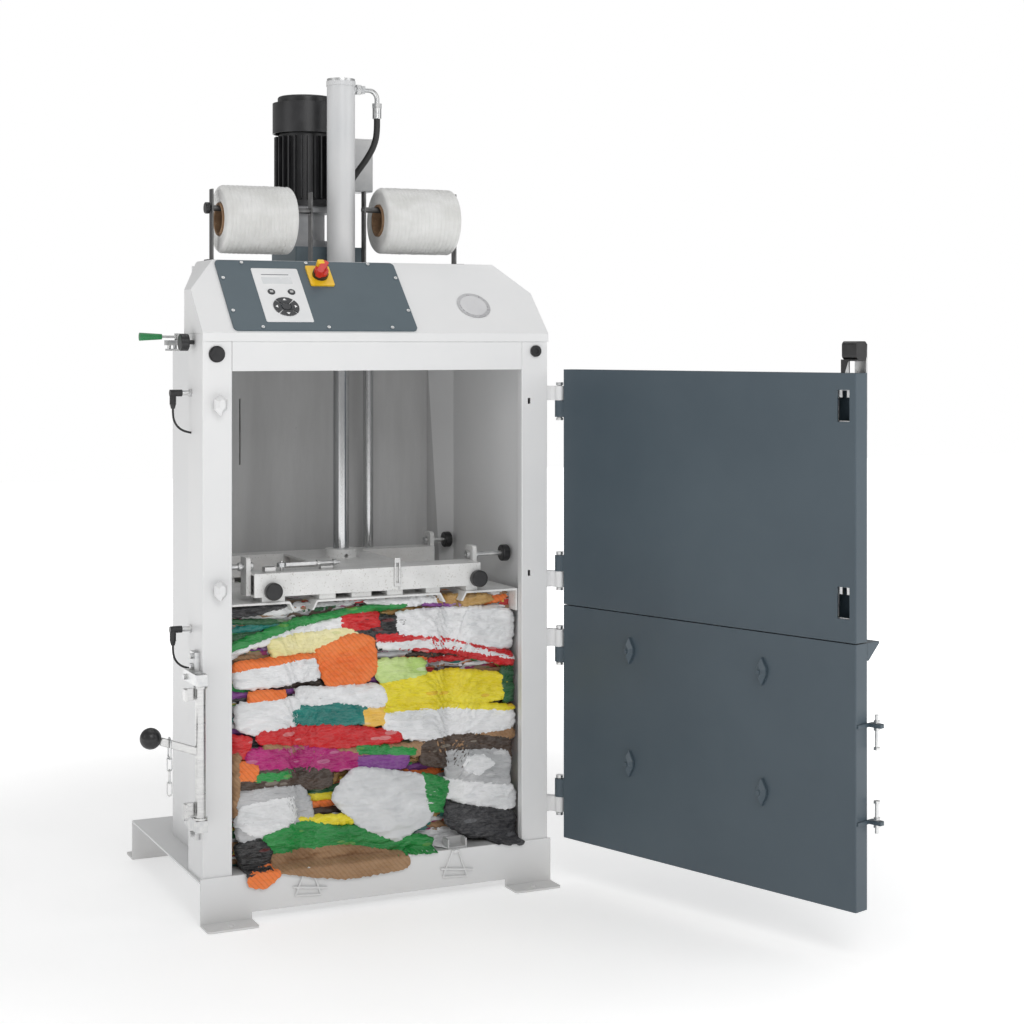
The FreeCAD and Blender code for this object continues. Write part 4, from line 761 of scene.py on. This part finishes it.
# outlines of the sheets that show on the bale's front: x and height in the drawing's mm
PIECES = [
    ('charcoal_bag', 'dark', [(77, 744), (224, 729), (236, 712), (139, 690), (82, 689)]),
    ('grey_film', 'grey', [(248, 725), (310, 747), (425, 744), (435, 715), (310, 703), (236, 710)]),
    ('white_foil', 'white', [(415, 739), (602, 744), (610, 695), (511, 689), (425, 701)]),
    ('orange_foil', 'brownfoil', [(594, 730), (726, 737), (748, 692), (668, 680), (605, 691)]),
    ('purple_bit', 'violet', [(563, 700), (662, 692), (662, 680), (563, 688)]),
    ('green_edge', 'green', [(82, 629), (236, 675), (410, 697), (496, 699), (496, 683), (310, 670), (115, 613), (82, 597)]),
    ('white_sheet', 'white', [(92, 615), (236, 656), (405, 683), (415, 650), (310, 637), (144, 616), (87, 587)]),
    ('black_block', 'black', [(384, 682), (516, 662), (511, 596), (430, 592), (379, 624)]),
    ('red_bit', 'red', [(352, 679), (440, 684), (450, 643), (384, 637), (349, 649)]),
    ('big_white_bag', 'white', [(501, 678), (694, 678), (791, 665), (801, 572), (668, 586), (506, 615)]),
    ('ribbon_red', 'red', [(450, 633), (615, 613), (801, 567), (801, 528), (641, 568), (455, 595)]),
    ('ribbon_white', 'white', [(455, 614), (620, 608), (796, 557), (796, 543), (615, 579), (455, 590)]),
    ('pale_yellow', 'paleyellow', [(178, 637), (359, 653), (389, 632), (334, 598), (187, 590)]),
    ('orange_card', 'orange', [(280, 607), (364, 641), (435, 629), (448, 543), (415, 508), (310, 511), (290, 564)]),
    ('white_orange_edge', 'white', [(92, 569), (275, 588), (290, 531), (144, 519), (96, 527)]),
    ('amber_edge', 'orange', [(92, 587), (275, 593), (280, 579), (144, 565), (92, 560)]),
    ('light_green', 'lightgreen', [(440, 568), (558, 564), (563, 516), (460, 509), (440, 525)]),
    ('yellow_sheet', 'yellow', [(460, 514), (641, 529), (769, 510), (774, 451), (589, 432), (465, 447)]),
    ('dark_green', 'darkgreen', [(761, 526), (807, 527), (810, 444), (769, 442)]),
    ('white_grey', 'white', [(251, 515), (450, 510), (455, 448), (310, 459), (246, 479)]),
    ('orange_strip', 'orange', [(125, 516), (212, 514), (207, 482), (120, 484)]),
    ('white_crumple', 'white', [(96, 490), (246, 493), (246, 423), (144, 413), (96, 431)]),
    ('teal_bag', 'teal', [(231, 466), (334, 476), (410, 461), (405, 419), (310, 417), (236, 428)]),
    ('amber_strip', 'amber', [(399, 457), (475, 456), (475, 413), (405, 414)]),
    ('white_yellow', 'white', [(465, 447), (615, 449), (791, 426), (791, 377), (615, 358), (470, 385)]),
    ('yellow_edge', 'yellow', [(465, 456), (620, 456), (791, 435), (791, 418), (615, 435), (470, 437)]),
    ('red_band', 'red', [(158, 421), (310, 427), (481, 398), (486, 369), (310, 366), (154, 394)]),
    ('red_left', 'red', [(77, 419), (130, 410), (120, 360), (77, 368)]),
    ('kraft_strip', 'kraft', [(187, 395), (334, 368), (537, 365), (769, 379), (769, 349), (589, 327), (384, 340), (187, 367)]),
    ('magenta_bag', 'magenta', [(125, 382), (260, 380), (389, 354), (384, 317), (236, 312), (125, 336)]),
    ('violet_strip', 'violet', [(384, 350), (516, 343), (511, 305), (394, 306)]),
    ('green_strip', 'green', [(389, 373), (532, 356), (527, 332), (389, 347)]),
    ('brown_bag', 'brown', [(553, 363), (668, 373), (780, 358), (780, 285), (668, 286), (558, 310)]),
    ('grey_sheet', 'grey', [(620, 338), (780, 329), (780, 236), (689, 225), (626, 265)]),
    ('white_label', 'white', [(652, 321), (710, 330), (753, 297), (705, 263), (657, 282)]),
    ('white_low_right', 'white', [(579, 275), (791, 240), (796, 176), (668, 203), (579, 236)]),
    ('mixed_small', 'brown', [(96, 339), (310, 328), (315, 276), (144, 284), (96, 293)]),
    ('green_small', 'green', [(130, 331), (226, 331), (226, 304), (134, 303)]),
    ('orange_small', 'orange', [(87, 358), (144, 348), (139, 307), (92, 312)]),
    ('kraft_left', 'kraft', [(77, 368), (101, 371), (99, 238), (80, 235)]),
    ('label_sheet_back', 'grey', [(96, 288), (251, 287), (280, 186), (144, 155), (96, 178)]),
    ('label_sheet', 'white', [(92, 261), (231, 275), (246, 209), (144, 169), (82, 207)]),
    ('dark_low_right', 'dark', [(620, 208), (807, 174), (801, 102), (668, 126), (620, 160)]),
    ('yellow_low', 'yellow', [(241, 218), (389, 210), (384, 185), (251, 194)]),
    ('green_low', 'green', [(349, 188), (568, 137), (563, 108), (435, 118), (349, 141)]),
    ('green_roll', 'green', [(158, 185), (260, 207), (354, 178), (359, 136), (236, 126), (158, 149)]),
    ('big_silver', 'silver', [(310, 253), (374, 327), (547, 292), (599, 253), (573, 170), (481, 127), (389, 175)]),
    ('green_tab', 'green', [(547, 292), (626, 261), (605, 195), (563, 195)]),
    ('kraft_low', 'kraft', [(183, 137), (334, 145), (486, 112), (481, 79), (334, 73), (187, 104)]),
    ('ribbed_black', 'black', [(82, 166), (144, 178), (173, 147), (158, 88), (106, 99)]),
    ('orange_low', 'orange', [(106, 108), (163, 120), (183, 100), (144, 72), (106, 81)]),
]


def join(name, parts, mats, smooth=True):
    verts, faces, fm = [], [], []
    for (vs, fs, mi) in parts:
        o = len(verts)
        verts += [W(*v) for v in vs]
        faces += [tuple(i + o for i in f) for f in fs]
        fm += [mi] * len(fs)
    ob = obj_from(name, verts, faces, mats, "root", smooth, fm)
    bm = bmesh.new()
    bm.from_mesh(ob.data)
    bmesh.ops.recalc_face_normals(bm, faces=bm.faces)
    for f in bm.faces:
        if f.normal.y > 0.2:
            f.normal_flip()
    bm.to_mesh(ob.data)
    bm.free()
    return ob


parts = {"upper": [], "middle": [], "lower": []}
levels = []                                   # how many sheets lie under each one


def reach(poly):
    xs, zs = [q[0] for q in poly], [q[1] for q in poly]
    return min(xs) - 8, max(xs) + 8, min(zs) - 4, max(zs) + 4


for i, (nm, key, poly) in enumerate(PIECES):
    a = reach(poly)
    under = [levels[j] for j in range(i) for b in (reach(PIECES[j][2]),)
             if a[0] < b[1] and b[0] < a[1] and a[2] < b[3] and b[2] < a[3]]
    levels.append(1 + max(under) if under else 0)
top_level = max(levels)
for i, (nm, key, poly) in enumerate(PIECES):
    zc = sum(p[1] for p in poly) / len(poly)
    big = nm in ("big_silver", "orange_card", "label_sheet", "white_label")
    vs, fs = scrap(poly, i + 1, step=4.0, puff=5.0 if big else 4.0, layer=1.5 + min(2.6, 26.0 / top_level) * levels[i],
                   fold=0.4 if big else 1.0, grow=1.0 if big else 1.12)
    parts["upper" if zc > 540 else "middle" if zc > 340 else "lower"].append((vs, fs, KEYS.index(key)))
for tag, ps in parts.items():
    ob = join(f"bale_sheets_{tag}", ps, MATS)
    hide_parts("bale")

# narrow folded edges of sheets that show between the large ones
rnd = random.Random(11)
fill = []
z = 116.0
count = 0
while z < 712:
    x = 64.0
    while x < 806:
        L = rnd.uniform(70, 210)
        h = rnd.uniform(9, 26)
        x1 = min(807, x + L)
        if x1 - x > 30:
            key = rnd.choice(["white", "white", "grey", "kraft", "red", "yellow", "green", "dark", "orange",
                              "teal", "brown", "violet", "paleyellow", "white", "kraft", "darkgreen", "brownfoil", "silver"])
            tilt = rnd.uniform(-7, 7)
            zz = min(max(z + rnd.uniform(-4, 4), 122), 705)
            poly = [(x, zz - h * .3 - tilt), (x + (x1 - x) * .5, zz - h * .5), (x1, zz - h * .3 + tilt),
                    (x1, zz + h * .4 + tilt), (x + (x1 - x) * .45, zz + h * .5), (x, zz + h * .4 - tilt)]
            vs, fs = scrap(poly, 200 + count, step=6.5, puff=3.0, layer=-9.0 + rnd.uniform(-3.0, 3.0), fold=0.9, rag=1.2)
            fill.append((vs, fs, KEYS.index(key)))
            count += 1
        if x1 >= 806:
            break
        x = x1 - 6
    z += 17
filler = join("bale_sheets_under", fill, MATS)
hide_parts("bale")


def strata():
    """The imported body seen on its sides, back and top: thin layers of many colours."""
    m, nt, s = new_mat("bale_strata")
    wob = tex(nt, "ShaderNodeTexNoise", 7.0, (1, 1, 1.4), Detail=4.0)
    tc = nt.nodes.new("ShaderNodeTexCoord")
    sep = nt.nodes.new("ShaderNodeSeparateXYZ")
    nt.links.new(tc.outputs["Object"], sep.inputs[0])
    v = mathn(nt, "ADD", mathn(nt, "MULTIPLY", sep.outputs[2], 7.0), mathn(nt, "MULTIPLY", wob.outputs[0], 1.3))
    blocks = tex(nt, "ShaderNodeTexVoronoi", 9.0, (1, 1, 4.5))
    sb = nt.nodes.new("ShaderNodeSeparateColor")
    nt.links.new(blocks.outputs["Color"], sb.inputs[0])
    f = mathn(nt, "FRACT", mathn(nt, "ADD", v, mathn(nt, "MULTIPLY", sb.outputs[0], 3.0)))
    cols = [(0.75, 0.75, 0.75), (0.36, 0.22, 0.12), (0.6, 0.02, 0.02), (0.8, 0.68, 0.1), (0.03, 0.3, 0.05),
            (0.05, 0.05, 0.055), (0.78, 0.3, 0.08), (0.7, 0.7, 0.71), (0.01, 0.18, 0.16), (0.42, 0.28, 0.16),
            (0.38, 0.02, 0.16), (0.8, 0.8, 0.8), (0.1, 0.06, 0.04), (0.4, 0.4, 0.42)]
    c = ramp(nt, f, [(i / len(cols), k) for i, k in enumerate(cols)], True)
    cr = tex(nt, "ShaderNodeTexNoise", 60.0, (0.6, 0.6, 2.4), Detail=8.0, Roughness=0.7)
    c = mixc(nt, mathn(nt, "MULTIPLY", cr.outputs[0], 0.35), c, (0.16, 0.15, 0.14))
    nt.links.new(c, s.inputs["Base Color"])
    lay = tex(nt, "ShaderNodeTexWave", 26.0, (0.1, 0.1, 1), wave_type="BANDS", bands_direction="Z", Distortion=6.0, Detail=3.0)
    h = mathn(nt, "ADD", mathn(nt, "MULTIPLY", cr.outputs[0], 1.2), mathn(nt, "MULTIPLY", lay.outputs[1], 0.8))
    bp = nt.nodes.new("ShaderNodeBump")
    bp.inputs["Strength"].default_value = 0.8
    bp.inputs["Distance"].default_value = 0.004
    nt.links.new(h, bp.inputs["Height"])
    nt.links.new(bp.outputs[0], s.inputs["Normal"])
    s.inputs["Roughness"].default_value = 0.5
    return m


def bale_core():
    x0, x1, y0, y1, z0, z1 = 63.5, 806.5, 62.0, 518.5, 109.2, 715.5
    bm = bmesh.new()
    bmesh.ops.create_cube(bm, size=1.0)
    for v in bm.verts:
        v.co = Vector(((x0 + x1) / 2 + v.co.x * (x1 - x0), (y0 + y1) / 2 + v.co.y * (y1 - y0), (z0 + z1) / 2 + v.co.z * (z1 - z0)))
    bmesh.ops.subdivide_edges(bm, edges=list(bm.edges), cuts=70, use_grid_fill=True)
    for v in bm.verts:
        p = v.co.copy()
        sx = min(p.x - x0, x1 - p.x)
        sy = min(p.y - y0, y1 - p.y)
        sz = min(p.z - z0, z1 - p.z)
        lay = 6.0 * abs(nz(p.x / 150, p.y / 150, p.z / 13)) + 5.0 * abs(nz(p.x / 50, p.y / 50 + 9, p.z / 30))
        cx, cy = (p.x - (x0 + x1) / 2), (p.y - (y0 + y1) / 2)
        if sy < 0.5:
            v.co.y -= math.copysign(lay, cy)
            g = sum(math.exp(-((p.x - q) / 20.0) ** 2) for q in (249.0, 629.0))
            v.co.y -= math.copysign(13.0 * g, cy)
        if sx < 0.5:
            v.co.x -= math.copysign(lay, cx)
        if sz < 0.5 and p.z > 400:
            v.co.z -= 0.8 * lay
        e = [d for d in (sx, sy, sz) if d < 12.0]
        if len(e) >= 2:                       # rounded-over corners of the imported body
            k = 8.0 * (1 - max(e) / 12.0)
            if sx < 12:
                v.co.x -= math.copysign(k * 0.6, cx)
            if sy < 12:
                v.co.y -= math.copysign(k * 0.6, cy)
            if sz < 12 and p.z > 400:
                v.co.z -= k * 0.6
    for v in bm.verts:                        # inside the chamber's folded back corners
        lim = 63.5 + max(0.0, v.co.y - 446.0) * 0.4545
        v.co.x = min(max(v.co.x, lim), 870.0 - lim)
    for v in bm.verts:
        v.co = W(*v.co)
    me = bpy.data.meshes.new("bale_core")
    bm.to_mesh(me)
    bm.free()
    me.materials.append(strata())
    for p in me.polygons:
        p.use_smooth = True
    o = bpy.data.objects.new("bale_core", me)
    col.objects.link(o)
    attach(o, "root")
    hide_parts("bale")
    return o


bale_core()

# ------------------------------------------------------- floor and lighting
def floor():
    bm = bmesh.new()
    bmesh.ops.create_grid(bm, x_segments=8, y_segments=8, size=14.0)
    me = bpy.data.meshes.new("floor")
    bm.to_mesh(me)
    bm.free()
    m, nt, s = new_mat("floor_pale")
    n = tex(nt, "ShaderNodeTexNoise", 3.0, (1, 1, 1), Detail=4.0)
    nt.links.new(ramp(nt, n.outputs[0], [(0.3, (0.90, 0.90, 0.90)), (0.7, (0.93, 0.93, 0.93))]), s.inputs["Base Color"])
    s.inputs["Roughness"].default_value = 0.75
    geo = nt.nodes.new("ShaderNodeNewGeometry")
    ln = nt.nodes.new("ShaderNodeVectorMath")
    ln.operation = "LENGTH"
    nt.links.new(geo.outputs["Position"], ln.inputs[0])
    far = nt.nodes.new("ShaderNodeMapRange")
    far.interpolation_type = "SMOOTHSTEP"
    far.inputs["From Min"].default_value = 0.9
    far.inputs["From Max"].default_value = 3.2
    far.inputs["To Min"].default_value = 0.30
    far.inputs["To Max"].default_value = 1.0
    nt.links.new(ln.outputs["Value"], far.inputs[0])
    # the floor glows as painted light: weakly near the machine and fully far off, fading into the white backdrop
    s.inputs["Emission Color"].default_value = (1, 1, 1, 1)
    nt.links.new(far.outputs[0], s.inputs["Emission Strength"])
    me.materials.append(m)
    o = bpy.data.objects.new("floor", me)
    o.location = (0, 0, -0.0005)
    col.objects.link(o)


floor()
world = bpy.data.worlds.new("studio")
bpy.context.scene.world = world
world.use_nodes = True
wn = world.node_tree
for n in list(wn.nodes):
    wn.nodes.remove(n)
wout = wn.nodes.new("ShaderNodeOutputWorld")
soft = wn.nodes.new("ShaderNodeBackground")
soft.inputs[0].default_value = (1.0, 1.0, 1.0, 1)
soft.inputs[1].default_value = 0.42
seen = wn.nodes.new("ShaderNodeBackground")
seen.inputs[0].default_value = (1.0, 1.0, 1.0, 1)
seen.inputs[1].default_value = 1.0
lp = wn.nodes.new("ShaderNodeLightPath")
mx = wn.nodes.new("ShaderNodeMixShader")
wn.links.new(lp.outputs["Is Camera Ray"], mx.inputs[0])
wn.links.new(soft.outputs[0], mx.inputs[1])
wn.links.new(seen.outputs[0], mx.inputs[2])
wn.links.new(mx.outputs[0], wout.inputs[0])


def area(name, loc, target, size, power, size_y=None):
    d = bpy.data.lights.new(name, "AREA")
    d.energy = power
    d.size = size
    if size_y:
        d.shape = "RECTANGLE"
        d.size_y = size_y
    o = bpy.data.objects.new(name, d)
    o.location = loc
    o.rotation_euler = (Vector(target) - Vector(loc)).to_track_quat("-Z", "Y").to_euler()
    col.objects.link(o)


area("key", (-0.6, -4.6, 3.6), (0.0, 0.0, 0.9), 2.2, 62, 2.2)
area("fill", (3.6, -3.4, 2.4), (0.3, -0.2, 0.8), 2.6, 30, 2.6)
area("side", (-4.2, -0.6, 2.2), (0.0, 0.0, 0.9), 2.0, 12, 2.0)
area("top", (0.2, 0.4, 4.6), (0.1, -0.1, 0.0), 3.0, 34, 3.0)
bpy.context.scene.view_settings.view_transform = "Standard"
bpy.context.scene.view_settings.look = "None"

bpy.context.view_layer.update()
